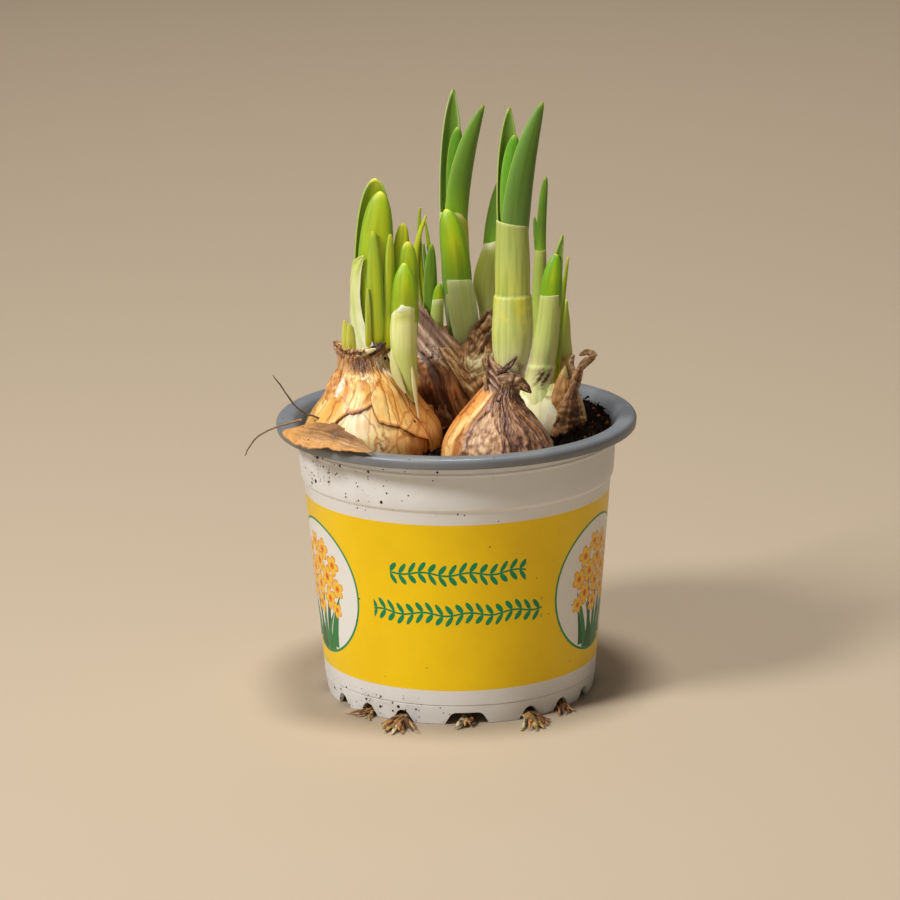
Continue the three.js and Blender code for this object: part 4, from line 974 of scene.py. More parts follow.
def goldPaint(azimuth, z):
    look = leftSkin
    cloud = rough(azimuth * 0.06, z * 0.11, 1)
    colour = mix(look["gold"], look["goldLight"], 0.55 + 0.9 * cloud)
    # painted shade: the right side, turned away from the light, is painted darker gold; the sides towards the
    # back darken too
    colour = mix(colour, look["goldPaintedShade"], 0.6 * ease(30, 58, azimuth + 8 * cloud) + 0.3 * ease(60, 100,
        abs(azimuth)))
    stain = ease(0.15, 0.6, rough(azimuth * 0.09, z * 0.25, 18)) * ease(100, 108, z)
    colour = mix(colour, (206, 128, 58), 0.7 * stain)
    edge = 1 - ease(0.2, 1.1, z - goldLower(azimuth))
    colour = mix(colour, (170, 96, 44), 0.75 * edge)
    colour = mix(colour, look["vein"], 0.9 * veinAt(goldVeins, azimuth, z, 1.3))
    streak = ease(0.15, 0.6, rough(azimuth * 0.3, z * 0.05, 4)) * near(azimuth, 48, 22) * near(z, 103, 12)
    colour = mix(colour, (120, 66, 28), 0.85 * streak)
    band = near(azimuth, 0, 26) * near(z, 110.9, 2.3)
    crinkle = ease(-0.3, 0.3, rough(azimuth * 0.5, z * 0.9, 7))
    colour = mix(colour, look["paleBand"], 1.6 * band * crinkle)
    neck = ease(111.5, 113.5, z)
    colour = mix(colour, (214, 168, 116), 0.8 * neck)
    scar = near(azimuth, -6, 34) * near(z, 115.2, 4.2)
    colour = mix(colour, look["scar"], 1.5 * scar)
    straw = near(azimuth, -58, 26) * ease(111, 114, z) * ease(-0.1, 0.4, rough(azimuth * 0.5, z * 0.1, 6))
    colour = mix(colour, (240, 222, 158), straw)
    flesh = ease(22, 30, azimuth) * (1 - ease(60, 74, azimuth)) * ease(0, 1.4,
        z - lineAt([(24, 115.5), (60, 107)], azimuth))
    return mix(colour, look["whiteFlesh"], 0.9 * flesh)


def creamPaint(azimuth, z):
    look = leftSkin
    cloud = rough(azimuth * 0.05, z * 0.1, 12)
    colour = mix(look["cream"], look["creamLight"], ease(-0.3, 0.5, cloud) * near(azimuth, -10, 34) * 1.6)
    colour = mix(colour, look["peach"], 0.6 * ease(2, 26, azimuth + 8 * cloud) + 0.3 * ease(0.1, 0.6, cloud))
    colour = mix(colour, look["rust"], 0.75 * ease(32, 44, azimuth + 4 * cloud) * (0.6 + cloud))
    colour = mix(colour, look["rust"], 0.5 * ease(-34, -60, azimuth))
    colour = mix(colour, (196, 126, 62), 0.6 * veinAt(creamVeins, azimuth, z, 1.2))
    curl = near(azimuth, 9, 9) * near(z, 91, 4.5) * ease(0, 0.4, rough(azimuth * 0.3, z * 0.6, 3))
    return mix(colour, (164, 100, 50), 1.8 * curl)


def goldLower(azimuth):
    return lineAt(leftSkin["tornEdge"], azimuth) + 0.3 * rough(azimuth * 0.35, 3)


def brownDry(azimuth, v):
    cloud = rough(azimuth * 0.12, v * 2, 9)
    colour = mix((136, 92, 62), (206, 162, 114), 0.5 + cloud)
    return mix(colour, (84, 54, 38), 0.6 * ease(0.1, 0.7, rough(azimuth * 0.3, v, 2)))


def plainDry(low, high, seed):
    return lambda u, v: mix(low, high, 0.5 + rough(u * 4, v * 4, seed))


leftPieces = [
    addBody("creamLayer", leftLevels, leftRelief, creamPaint, sides=190, rings=110, inset=0.55),
    addSkin("goldLayer", leftLevels, goldLower, lambda azimuth: 118.6, leftRelief, goldPaint,
            wall=0.4, across=250, along=84, lift=-0.1, flare=0.55),
    addFrill("dryCollar", (-30.6, -8), (8.2, 8.8), 117.0, 119.8, brownDry, 4, flare=0.7, ragged=1.0),
    addFrill("dryCollarInner", (-30.5, -8), (7.3, 7.6), 117.4, 119.6, lambda azimuth, v: mix(
        (226, 208, 160), (160, 116, 76), 0.5 + rough(azimuth * 0.2, v)), 9, flare=0.5, ragged=0.9),
    addBlade("looseWing", {
        "line": ((-42.6, -12.5, 99), (-41.6, -12.0, 107), (-37.0, -11.4, 114.6)), "half": 2.7, "facing": -50,
        "cup": 0.8, "thick": 0.6, "taper": (2.2, 0.7), "ripple": 0.4, "seed": 3,
    }, plainDry((196, 126, 60), (240, 190, 120), 5)),
    addBlade("paleWing", {
        "line": ((-39.2, -16.2, 104), (-37.2, -15.6, 109), (-34.9, -14.4, 113.4)), "half": 1.2, "facing": -38,
        "cup": 0.4, "thick": 0.6, "taper": (2.2, 0.7), "ripple": 0.2, "seed": 8,
    }, lambda u, v: mix((252, 232, 214), (226, 190, 160), ease(0.6, 1, abs(2 * u - 1)))),
    addBlade("darkLump", {
        "line": ((-28.2, -15.6, 118.6), (-25.6, -16.4, 121.0), (-22.6, -13.6, 121.4)), "half": 1.5,
        "facing": 5, "cup": 0.8, "thick": 0.9, "taper": (2.6, 0.7), "ripple": 0.6, "seed": 14,
    }, plainDry((30, 20, 16), (96, 66, 50), 3)),
    addBlade("creamBit", {
        "line": ((-32.0, -16.0, 117.8), (-30.0, -17.4, 119.4), (-26.0, -17.6, 120.4)), "half": 0.9,
        "facing": 5, "cup": 0.5, "thick": 0.8, "taper": (3, 0.6), "ripple": 0.2, "seed": 16,
    }, plainDry((236, 224, 176), (214, 196, 140), 4)),
]
finishPiece(joinAll(leftPieces, "leftBulb"), skinMaterial, "golden_skin", "bulb_left")

# front bulb: ridged brown skin that fans out from the neck, a tan corky patch and an orange side
frontSkin = {
    "ridgeHighlight": (202, 158, 118), "grooveShade": (108, 70, 52), "purple": (156, 116, 94), "orange": (232, 156, 76),
    "orangePaintedSheen": (252, 208, 136), "orangeDark": (156, 86, 36), "cork": (222, 184, 138),
    "corkDark": (178, 134, 96),
}


def fanOf(azimuth, z):  # folds fan out from the front of the neck
    return (azimuth - 2) / mix(1.0, 0.42, ease(94, 112, z))


def patchAt(azimuth, z):
    wobble = 3.2 * rough(azimuth * 0.07, z * 0.12, 2)
    return 1 - math.hypot((azimuth + 14 + wobble) / 21, (z - 95.5 + wobble * 0.4) / 8.6)


def orangeAt(azimuth, z):
    fan = fanOf(azimuth, z)
    return ease(-40, -52, fan + 5 * rough(z * 0.16, 6))


def ridgesAt(azimuth, z):
    fan = fanOf(azimuth, z)
    warp = 6 * rough(fan * 0.03, z * 0.09, 1)
    big = 1 - abs(rough((fan + warp) * 0.075, z * 0.045, 3, 2)) * 2
    small = 1 - abs(rough((fan + warp) * 0.21, z * 0.14, 7, 2)) * 2
    return 0.5 * big + 0.5 * small


def frontRelief(azimuth, z):
    smoothSide = orangeAt(azimuth, z)
    patch = ease(-0.02, 0.2, patchAt(azimuth, z))
    calm = max(smoothSide * 0.8, patch * 0.85, ease(100, 150, abs(azimuth)) * 0.4)
    ridges = ridgesAt(azimuth, z) * mix(1.0, 0.2, calm)
    rimOfPatch = max(0, 1 - abs(patchAt(azimuth, z)) / 0.1)
    wrinkle = 1 - abs(rough((z + azimuth * 0.07) * 0.42, azimuth * 0.012, 4, 2)) * 2
    neck = ease(107, 111, z) * (0.36 * wrinkle - 0.15)
    crumple = 0.25 * rough(azimuth * 0.16, z * 0.5, 17)
    ridges *= 1 - 0.7 * ease(107, 111, z)
    return 0.5 * ridges - 0.3 + 0.35 * rimOfPatch * (1 - smoothSide) + neck + crumple * (1 - smoothSide)


def frontPaint(azimuth, z):
    look = frontSkin
    height = ridgesAt(azimuth, z)
    cloud = rough(azimuth * 0.08, z * 0.12, 21)
    # painted shade in the grooves and painted highlight on the ridge crests, following the ridge height;
    # purple-brown between
    colour = mix(look["grooveShade"], look["purple"], ease(0.0, 0.5, height))
    colour = mix(colour, look["ridgeHighlight"], ease(0.5, 0.9, height))
    colour = mix(colour, (212, 170, 126), ease(0.1, 0.6, cloud) * 0.6)
    colour = mix(colour, (96, 58, 42), ease(0.25, 0.6, rough(azimuth * 0.2, z * 0.22, 25)) * 0.6)
    patch = ease(0, 0.14, patchAt(azimuth, z))
    cork = mix(look["cork"], look["corkDark"], 0.5 + 1.1 * rough(azimuth * 0.25, z * 0.4, 14))
    colour = mix(colour, cork, patch)
    colour = mix(colour, (124, 78, 50), 0.7 * max(0, 1 - abs(patchAt(azimuth, z)) / 0.07))
    side = orangeAt(azimuth, z)
    # painted sheen: a lighter orange band down the left of the smooth side
    orange = mix(look["orange"], look["orangePaintedSheen"], near(fanOf(azimuth, z), -66, 20) * 1.2)
    orange = mix(orange, look["orangeDark"], ease(0.1, 0.6, rough(azimuth * 0.07, z * 0.06, 31)) * 0.7)
    orange = mix(orange, (96, 50, 26), near(fanOf(azimuth, z), -50, 8) * ease(96, 103, z) * 0.8)
    colour = mix(colour, orange, side)
    edge = near(fanOf(azimuth, z), 66, 4) * ease(90, 96, z)
    colour = mix(colour, (216, 146, 80), edge)
    # painted highlight on the neck's wrinkle crests and painted shade in its wrinkle grooves
    wrinkle = 1 - abs(rough((z + azimuth * 0.07) * 0.42, azimuth * 0.012, 4, 2)) * 2
    neck = mix((112, 78, 60), (196, 156, 120), ease(-0.2, 0.7, wrinkle))
    return mix(colour, neck, ease(107, 111, z))


def frontTop(azimuth):
    return lineAt([
        (-180, 115), (-110, 118), (-70, 121.4), (-40, 119.4), (-10, 117.4), (10, 115.8), (32, 113.2),
        (70, 110.6), (110, 112), (180, 116)], azimuth) + 0.5 * rough(azimuth * 0.12, 5)


frontPieces = [
    addBody("ridgedSkin", frontLevels, frontRelief, frontPaint, sides=260, rings=170, inset=0.2,
        top=frontTop),
    addBlade("neckFlap", {
        "line": ((13.6, -34.0, 113.8), (20.4, -35.4, 114.4), (24.4, -31.4, 108.2)), "half": 2.5, "facing": 22,
        "cup": 0.9, "thick": 0.5, "waist": 0.3, "taper": (2.6, 0.7), "ripple": 0.7, "seed": 2,
    }, plainDry((104, 70, 50), (204, 164, 118), 1), across=24, along=44),
    addBlade("neckStrip", {
        "line": ((13.6, -33.0, 115.4), (17.6, -33.7, 117.4), (19.8, -32.9, 121.0)), "half": 0.95, "facing": 5,
        "cup": 0.4, "thick": 0.6, "taper": (3, 0.6), "ripple": 0.3, "seed": 6,
    }, plainDry((66, 40, 30), (132, 92, 60), 1)),
    addBlade("neckEdge", {
        "line": ((10.4, -32.0, 107), (8.6, -31.0, 115), (9.8, -30.2, 123.8)), "half": 0.8, "facing": -60,
        "cup": 0.5, "thick": 0.5, "waist": 0.3, "taper": (3, 0.6), "ripple": 0.5, "seed": 7, "torn": 0.5,
    }, plainDry((120, 84, 58), (206, 168, 120), 8), across=16, along=50),
]
finishPiece(joinAll(frontPieces, "frontBulb"), brownMaterial, "brown_skin", "bulb_front")

# back bulb: a torn, crinkled skin stands in front of its glossy brown body
backSkin = {
    "top": [
        (-13.8, 121), (-12.4, 129.6), (-9.6, 125.1), (-6.9, 121.7), (-2.3, 118.2), (1.9, 114.6), (4, 116),
        (6.4, 120.1), (9.2, 123.5), (12.6, 125.6), (14.2, 121), (15.8, 112)],
    "front": [(86, 8.2), (100, 9.0), (108, 10.6), (114, 12.8), (118, 14.3), (124, 16.0), (130, 18.4)],
    "body": (122, 74, 40), "bodyLight": (196, 138, 80),
}


def backTop(azimuth):
    return mix(108, 116.5, ease(50, 100, abs(azimuth)))


def backRelief(azimuth, z):
    ridges = 1 - abs(rough(azimuth * 0.06, z * 0.05, 40, 2)) * 2
    return 0.4 * ridges + 0.4 * rough(azimuth * 0.12, z * 0.2, 41) - 0.3


def backPaint(azimuth, z):
    cloud = rough(azimuth * 0.05, z * 0.09, 44)
    colour = mix(backSkin["body"], backSkin["bodyLight"], 0.35 + 1.1 * cloud)
    return mix(colour, (66, 38, 22), 0.6 * ease(0.2, 0.7, rough(azimuth * 0.2, z * 0.3, 47)))


def foldsAt(x, z):  # long folds run down each lobe of the torn skin, crumples cross them at the right
    lobe = ease(1.5, 5.5, x)
    across = mix(0.73 * x + 0.68 * (z - 100), 0.8 * x - 0.6 * (z - 100), lobe)
    along = mix(0.68 * x - 0.73 * (z - 100), 0.6 * x + 0.8 * (z - 100), lobe)
    low = ease(108, 100, z)
    across = mix(across, x + 0.35 * (z - 90), low)
    big = 1 - abs(rough(across * 0.13, along * 0.03, 50, 2)) * 2
    fine = 1 - abs(rough(across * 0.42, along * 0.06, 53, 2)) * 2
    crumple = rough(x * 0.45, z * 0.4, 57)
    return mix(0.55 * big + 0.35 * fine, 0.4 * big + 0.35 * fine + 0.6 * crumple, lobe)


def tornPlace(u, v):
    x = mix(-13.8, 15.8, u)
    top = lineAt(backSkin["top"], x) + 0.5 * rough(x * 0.9, 3)
    z = mix(86, top, v)
    y = lineAt(backSkin["front"], z) + 0.026 * (x - 1) ** 2 * (1 - 0.6 * ease(112, 128, z))
    return Vector((x, y - 0.95 * foldsAt(x, z) * ease(86, 94, z) + 0.5, z))


def tornPaint(u, v):
    spot = tornPlace(u, v)
    x, z = spot.x, spot.z
    fold = foldsAt(x, z)
    # painted highlight on the fold crests and painted shade in the creases, on the grey-pink skin, its tan
    # lobe and the glossy brown lower part
    colour = mix((128, 98, 80), (206, 178, 152), ease(-0.1, 0.75, fold))
    tan = mix((150, 104, 66), (216, 176, 126), ease(-0.1, 0.7, fold))
    colour = mix(colour, tan, ease(-6, 1, x + (112 - z) * 0.3))
    glossyBrownHighlit = mix((78, 42, 22), (198, 134, 74), ease(0.0, 0.8, fold))
    colour = mix(colour, glossyBrownHighlit, ease(107, 101, z + 0.5 * x))
    dark = ease(-0.1, 0.5, rough(x * 0.2, z * 0.13, 66)) * near(z, 104, 9) * near(x, -8, 8)
    colour = mix(colour, (84, 54, 42), dark)
    spots = ease(0.1, 0.35, rough(x * 0.5, z * 0.6, 55)) * near(z, 110, 5) * near(x, -9, 4.5)
    colour = mix(colour, (46, 30, 24), 2.4 * spots)
    crumple = ease(0.0, 0.35, rough(x * 0.5 - z * 0.25, z * 0.25, 64)) * ease(4, 8, x) * ease(108, 114, z)
    colour = mix(colour, (92, 58, 38), 0.85 * crumple)
    cream = ease(0, 1.5, min(z - 102.5 - (x - 3) * 0.25, 111.5 - z, x - 2.6, 12.5 - x + (z - 104) * 0.2))
    colour = mix(colour, (246, 232, 182), cream)
    return mix(colour, (104, 70, 48), 0.6 * ease(0.94, 1, v))


def stripPlace(u, v):
    z = mix(92, 113.5, v)
    x = lineAt([(92, 7.6), (97.3, 4.2), (113.5, -5.6)], z) + u * mix(6.8, 4.0, v)
    across = (x + 13.8) / 29.6
    high = lineAt(backSkin["top"], x)
    spot = tornPlace(across, min(1, (z - 86) / (high - 86)))
    return Vector((spot.x, spot.y - 0.9 - 0.3 * rough(u * 3, v * 6, 8), z))


backPieces = [
    addBody("glossyBody", backLevels, backRelief, backPaint, sides=150, rings=90, inset=0.5, top=backTop),
    addSheet("tornSkin", 120, 100, tornPlace, tornPaint, wall=0.5, edgeWall=1),
    addSheet("crossStrip", 24, 50, stripPlace, lambda u, v: mix(
        mix((222, 182, 130), (188, 142, 94), 0.5 + rough(u * 5, v * 3, 5)), (140, 94, 58),
        ease(0.75, 1, abs(2 * u - 1))),
        wall=0.5, edgeWall=1),
    addFrill("backCollar", (3, 28.6), (8.2, 7.4), 107.4, 110.4, brownDry, 21, flare=0.6, ragged=1.2),
    addBlade("backFlapRear", {
        "line": ((6, 43, 93), (5, 44, 108), (2, 37, 121)), "half": 9.5, "facing": 175, "cup": 2.4,
        "thick": 0.7, "taper": (1.6, 0.8), "ripple": 1.4, "seed": 25, "torn": 0.6,
    }, lambda u, v: mix((136, 100, 78), (196, 164, 132), 0.5 + 0.9 * rough(u * 3.2, v * 5, 50)), across=36,
    along=50),
]
finishPiece(joinAll(backPieces, "backBulb"), brownMaterial, "torn_skin", "bulb_back")

# right bulb: bare cream-green scale with a dry striped flap that ends in a curl


def rightRelief(azimuth, z):
    return 0.25 * rough(azimuth * 0.04, z * 0.05, 70, 2) + 0.1 * rough(azimuth * 0.2, z * 0.05, 72, 2)


def rightPaint(azimuth, z):
    cloud = rough(azimuth * 0.05, z * 0.08, 75)
    colour = mix((244, 238, 188), (254, 250, 216), 0.5 + cloud)
    colour = mix(colour, (218, 218, 136), 0.7 * ease(98, 104, z))
    colour = mix(colour, (190, 140, 84), 0.85 * ease(42, 70, abs(azimuth)) + 0.2 * ease(0.3, 0.7, cloud))
    ring = ease(0.0, 0.3, rough(azimuth * 0.05 + z * 0.5, z * 0.6, 78)) * near(z, 102.4, 2.4)
    return mix(colour, (118, 76, 46), 1.3 * ring)


def stripedPaint(u, v):
    stripe = rough(u * 12, v * 0.5, 82, 2)
    colour = mix((120, 78, 46), (204, 154, 102), 0.5 + 1.3 * stripe)
    colour = mix(colour, (84, 52, 36), 0.8 * ease(0.15, 0.5, rough(u * 3, v * 2, 85)))
    return mix(colour, (206, 160, 112), 0.7 * ease(0.9, 1, abs(2 * u - 1)))


curlPaint = plainDry((150, 112, 78), (214, 178, 132), 2)
finishPiece(addBody("rightBulb", rightLevels, rightRelief, rightPaint, sides=150, rings=90, inset=0.2),
    sheathMaterial, "pale_skin", "bulb_right")
finishPiece(joinAll([
    addBlade("stripedFlap", {
        "line": ((37.4, -6.6, 83), (36.6, -9.4, 96), (39.6, -7.4, 106.5)), "half": 8.2, "facing": 26,
        "cup": 3.2, "thick": 0.7, "taper": (1.25, 0.9), "ripple": 0.8, "seed": 31, "torn": 0.5,
    }, stripedPaint, across=50, along=70),
    addBlade("curlStalk", {
        "line": ((38.9, -8.0, 101.5), (39.6, -6.8, 106.6), (41.8, -5.6, 111.2)), "half": 1.7, "facing": 15,
        "cup": 0.7, "thick": 0.7, "waist": 0.5, "taper": (4, 0.5), "ripple": 0.4, "seed": 33,
    }, stripedPaint, across=12, along=30),
    addBlade("curlRight", {
        "line": ((40.8, -5.8, 109.2), (42.6, -5.4, 112.4), (46.2, -4.8, 113.8)), "half": 1.4, "facing": 10,
        "cup": 0.5, "thick": 0.7, "waist": 0.6, "taper": (7, 0.5), "ripple": 0.3, "seed": 35,
    }, curlPaint, across=12, along=24),
    addBlade("curlTop", {
        "line": ((46.1, -4.7, 113.6), (44.6, -4.2, 116.4), (41.0, -4.2, 114.2)), "half": 1.0, "facing": 10,
        "cup": 0.4, "thick": 0.7, "taper": (6, 0.5), "ripple": 0.2, "seed": 36,
    }, curlPaint, across=10, along=24),
    addBlade("curlLeft", {
        "line": ((40.2, -6.0, 107.6), (36.9, -5.6, 111.0), (39.2, -5.2, 114.6)), "half": 0.9, "facing": 10,
        "cup": 0.4, "thick": 0.7, "waist": 0.5, "taper": (6, 0.5), "ripple": 0.2, "seed": 37,
    }, curlPaint, across=10, along=24),
    addBlade("shootSkin", {
        "line": ((33.8, -7.4, 91), (34.2, -7.8, 101), (36.4, -3.4, 110.5)), "half": 4.0, "facing": 14,
        "cup": 1.8, "thick": 0.6, "waist": 0.3, "taper": (2.0, 0.8), "ripple": 0.5, "seed": 38,
    }, lambda u, v: mix(mix((166, 112, 58), (222, 170, 104), 0.5 + rough(u * 7, v, 9)), (206, 204, 120),
    ease(0.6, 1, v)),
        across=20, along=30),
], "rightFlap"), dryMaterial, "dry_husk")
print("bulbs ready")


# shoots

def leafPaint(plain, **changes):
    look = {**plain, **changes}
    base, middle, tip = look["base"], look["middle"], look["tip"]
    edge, seed = look.get("edge", middle), look.get("seed", 1)

    def paint(u, v):
        colour = mix(base, middle, ease(0.02, look.get("rise", 0.35), v))
        colour = mix(colour, tip, ease(0.86, 1, v) * 0.9)
        colour = mix(colour, edge, ease(0.45, 1, abs(2 * u - 1)) * look.get("edgeShare", 0.5)
            * (1 - ease(0.85, 1, v)))
        # painted glow: the middle of the blade is painted brighter and yellower, as if lit through
        glow = near(u, 0.5, 0.34) * near(v, 0.42, 0.5) * look.get("glow", 0)
        colour = mix(colour, look.get("paintedGlowTint", tip), glow)
        colour = mix(colour, tuple(c * 0.78 for c in colour),
            ease(0.1, 0.6, rough(u * 7, v * 1.2, seed, 2)) * 0.5)
        margin = ease(0.94, 1, abs(2 * u - 1)) * look.get("margin", 0.5)
        return mix(colour, (206, 216, 130), margin)
    return paint


# glow and its tint set the painted glow in the middle of each blade
youngLook = {
    "base": (214, 216, 24), "middle": (166, 194, 26), "tip": (226, 222, 70), "edge": (124, 172, 62),
    "glow": 0.7, "paintedGlowTint": (206, 212, 6), "edgeShare": 0.75,
}
deepLook = {
    "base": (134, 176, 28), "middle": (102, 144, 34), "tip": (176, 190, 60), "edge": (158, 192, 104),
    "edgeShare": 0.5, "rise": 0.3,
}


# a round stem or sheath through levels; an open top has a wall turned inwards
def addRound(name, levels, paint, sides=40, rings=46, slant=0.0, slantAzimuth=0, pointed=False):
    low, high = levels[0][0], levels[-1][0]

    def spot(u, v):
        azimuth = u * 360 - 180
        lean = math.cos(math.radians(azimuth - slantAzimuth))
        if pointed or v <= 0.8:
            share = v if pointed else v / 0.8
            z = mix(low, high, share)
            x, y, rx, ry = curveAt(levels, z)
            if v == 0 or (pointed and v == 1):
                rx = ry = 0.001
            shift = slant * lean * ease(0.75, 1, share)
            angle = math.radians(azimuth)
            return Vector((x + rx * math.sin(angle), y - ry * math.cos(angle), z + shift)), share
        share = (v - 0.8) / 0.2
        x, y, rx, ry = curveAt(levels, high)
        inset = 0.75 * min(1, share * 5)
        z = high + slant * lean * (1 - ease(0.3, 0.8, share)) + 0.12 * math.sin(min(1, share * 5) * math.pi)
        z -= 5 * max(0, share - 0.2)
        if share > 0.96:
            inset = min(rx, ry) * 0.999
        angle = math.radians(azimuth)
        return Vector((x + (rx - inset) * math.sin(angle), y - (ry - inset) * math.cos(angle), z)), 1.0
    return addSheet(
        name, sides, rings, lambda u, v: spot(u, v)[0], lambda u, v: paint(u, spot(u, v)[1], v), closed=True)


def sheathPaint(plain, **changes):
    look = {**plain, **changes}
    low, high, top = look["low"], look["high"], look.get("top", look["high"])
    seed = look.get("seed", 1)

    def paint(u, share, v):
        colour = mix(low, high, ease(look.get("start", 0.2), 0.8, share))
        colour = mix(colour, top, ease(0.9, 0.98, share))
        stripe = rough(u * 26, share * 1.1, seed, 2)
        colour = mix(colour, look.get("stripe", (158, 178, 92)),
            ease(0.0, 0.6, stripe) * look.get("stripes", 0.45))
        # the wall turned inwards at the open top is painted darker: painted shade inside the opening
        if v > 0.81:
            return tuple(c * 0.8 for c in low)
        return colour
    return paint


paleLook = {"low": (238, 240, 180), "high": (220, 228, 136), "top": (240, 240, 196), "stripe": (176, 198, 96)}

# left bulb's shoots
leftTall = [
    addBlade("tallBack", {
        "line": ((-27.2, -6.4, 117.6), (-26.6, -5.6, 150), (-25.2, -6, 174.7)), "half": 6.35, "facing": 180,
        "cup": 3, "waist": 0.9, "taper": (4, 0.5), "thick": 1.4,
    }, leafPaint(youngLook, seed=2)),
    addBlade("tallFront", {
        "line": ((-26.8, -8, 117.6), (-26.2, -8.6, 150), (-23.6, -7.8, 170.5)), "half": 5.8, "cup": 3.2,
        "waist": 0.92, "taper": (4, 0.5), "thick": 1.4,
    }, leafPaint(youngLook, glow=0.8, seed=4)),
    addBlade("narrowFront", {
        "line": ((-25.9, -12, 117.4), (-25.8, -12.8, 138), (-26.2, -12.6, 158.6)), "half": 2.7, "cup": 1.3,
        "waist": 0.7, "taper": (3.5, 0.6), "thick": 1.4,
    }, leafPaint(youngLook, base=(196, 200, 20), middle=(166, 194, 50), edge=(146, 184, 80), seed=6)),
    addBlade("narrowSide", {
        "line": ((-22.2, -10.6, 119.3), (-21.3, -11.2, 138), (-20.5, -11.0, 157.3)), "half": 1.75,
        "facing": 20, "cup": 1.0, "taper": (4.5, 0.55), "thick": 1.2,
    }, leafPaint(youngLook, middle=(186, 206, 60), edge=(160, 190, 60), seed=8)),
    addBlade("smallFront", {
        "line": ((-28.4, -13.2, 117.4), (-28.4, -14.2, 130), (-28.3, -14.2, 139.9)), "half": 0.95, "cup": 0.5,
        "taper": (3, 0.6), "thick": 1.0,
    }, leafPaint(youngLook, middle=(190, 204, 90), seed=9)),
    addRound("leafFoot", [[111, -27.4, -9, 4.2, 3.8], [119, -27.2, -9, 5.2, 4.6]],
        lambda u, share, v: (206, 210, 110), sides=24, rings=12),
]
finishPiece(joinAll(leftTall, "leftTallLeaves"), leafMaterial, "young_leaf", "left_tall_leaves")

# the open sheath wraps the pair from behind; its front edge runs down to the right
wrapLook = {
    # height, centre x, radius across, radius front to back, azimuths of its front edge and of its back edge
    "rows": [
        [112, -27.4, 5.4, 5.0, 44, -170], [116, -27.4, 5.8, 5.2, 26, -168], [119, -27.3, 6.2, 5.4, 12, -165],
        [124, -27.2, 6.7, 5.1, -6, -160], [130, -27.1, 7.0, 4.9, -26, -155],
        [137, -27.0, 7.0, 4.8, -34, -150], [143, -26.8, 6.8, 4.7, -34, -120],
        [147, -26.7, 6.6, 4.6, -30, -84], [149.6, -26.6, 6.4, 4.5, -26, -50],
        [150.6, -26.5, 6.3, 4.5, -25, -30],
    ],
}


def wrapPlace(u, v):
    z = mix(112, 150.5, v ** 0.92)
    x, rx, ry, front, rear = curveAt(wrapLook["rows"], z)
    angle = math.radians(mix(rear, front, u))
    lift = 0.25 * rough(u * 2, v * 3, 19)
    return Vector((x + (rx + lift) * math.sin(angle), -8.2 - (ry + lift) * math.cos(angle), z))


def wrapPaint(u, v):
    colour = mix((246, 246, 218), (230, 236, 160), ease(0.15, 0.6, v))
    colour = mix(colour, (196, 210, 96), ease(0.75, 0.95, v) * 0.7)
    stripe = ease(0.0, 0.5, rough(u * 9, v * 0.8, 6, 2))
    colour = mix(colour, (196, 212, 132), stripe * 0.6)
    return mix(colour, (246, 244, 222), ease(0.9, 1, u) * 0.8)


finishPiece(addSheet("leftTallSheath", 44, 60, wrapPlace, wrapPaint, wall=0.6, edgeWall=0.5), sheathMaterial,
    "sheath", "left_tall_sheath")

budPaint = leafPaint({"base": (230, 226, 140), "middle": (214, 214, 84), "tip": (224, 222, 96),
    "edge": (222, 224, 140)})
finishPiece(joinAll([
    addBlade("budOuter", {
        "line": ((-35.4, -11.2, 115), (-36, -11.6, 122), (-36.3, -12, 129)), "half": 1.5, "facing": -20,
        "cup": 0.8, "taper": (2.4, 0.8), "thick": 1.4,
    }, budPaint),
    addBlade("budInner", {
        "line": ((-34.4, -11.4, 115), (-34, -12.2, 121), (-34.7, -12.4, 127.8)), "half": 1.6, "facing": 10,
        "cup": 0.8, "taper": (2.4, 0.8), "thick": 1.4,
    }, budPaint),
], "leftSideBuds"), leafMaterial, "young_leaf", "left_side_buds")


def closedPair(name, front, back, look, seed):
    return joinAll([
        addBlade(name + "Front", front, leafPaint(look, seed=seed)),
        addBlade(name + "Back", back, leafPaint(look, seed=seed + 1)),
    ], name)


leftFrontLevels = [
    [96.4, -14.2, -13.2, 0.35, 0.35], [99, -14.4, -13.3, 0.8, 0.7], [103, -14.8, -13.6, 1.7, 1.5],
    [107, -15.1, -14, 2.6, 2.3], [112, -16, -14.2, 3.5, 3], [119.2, -16.85, -14.2, 4.3, 3.6],
    [126, -16.85, -14, 4.5, 3.75], [130.8, -16.5, -14, 4.4, 3.6],
]


def leftFrontPaint(u, share, v):
    azimuth = u * 360 - 180
    colour = mix((214, 216, 150), (222, 232, 132), ease(0.05, 0.35, share))
    colour = mix(colour, (250, 250, 176), ease(0.55, 0.9, share) * 0.9)
    colour = mix(colour, (188, 196, 70), 0.7 * near(share, 0.93, 0.05) * near(azimuth, 0, 60))
    colour = mix(colour, (250, 250, 232), ease(0.975, 0.995, share))
    stripe = rough(u * 22, share * 1.1, 3, 2)
    colour = mix(colour, (186, 204, 104), ease(0.0, 0.6, stripe) * 0.4)
    colour = mix(colour, (236, 232, 190), near(azimuth, 40, 10) * (1 - ease(0.3, 0.5, share)))
    # the wall turned inwards at the open top is painted darker: painted shade inside the opening
    return (170, 170, 110) if v > 0.81 else colour


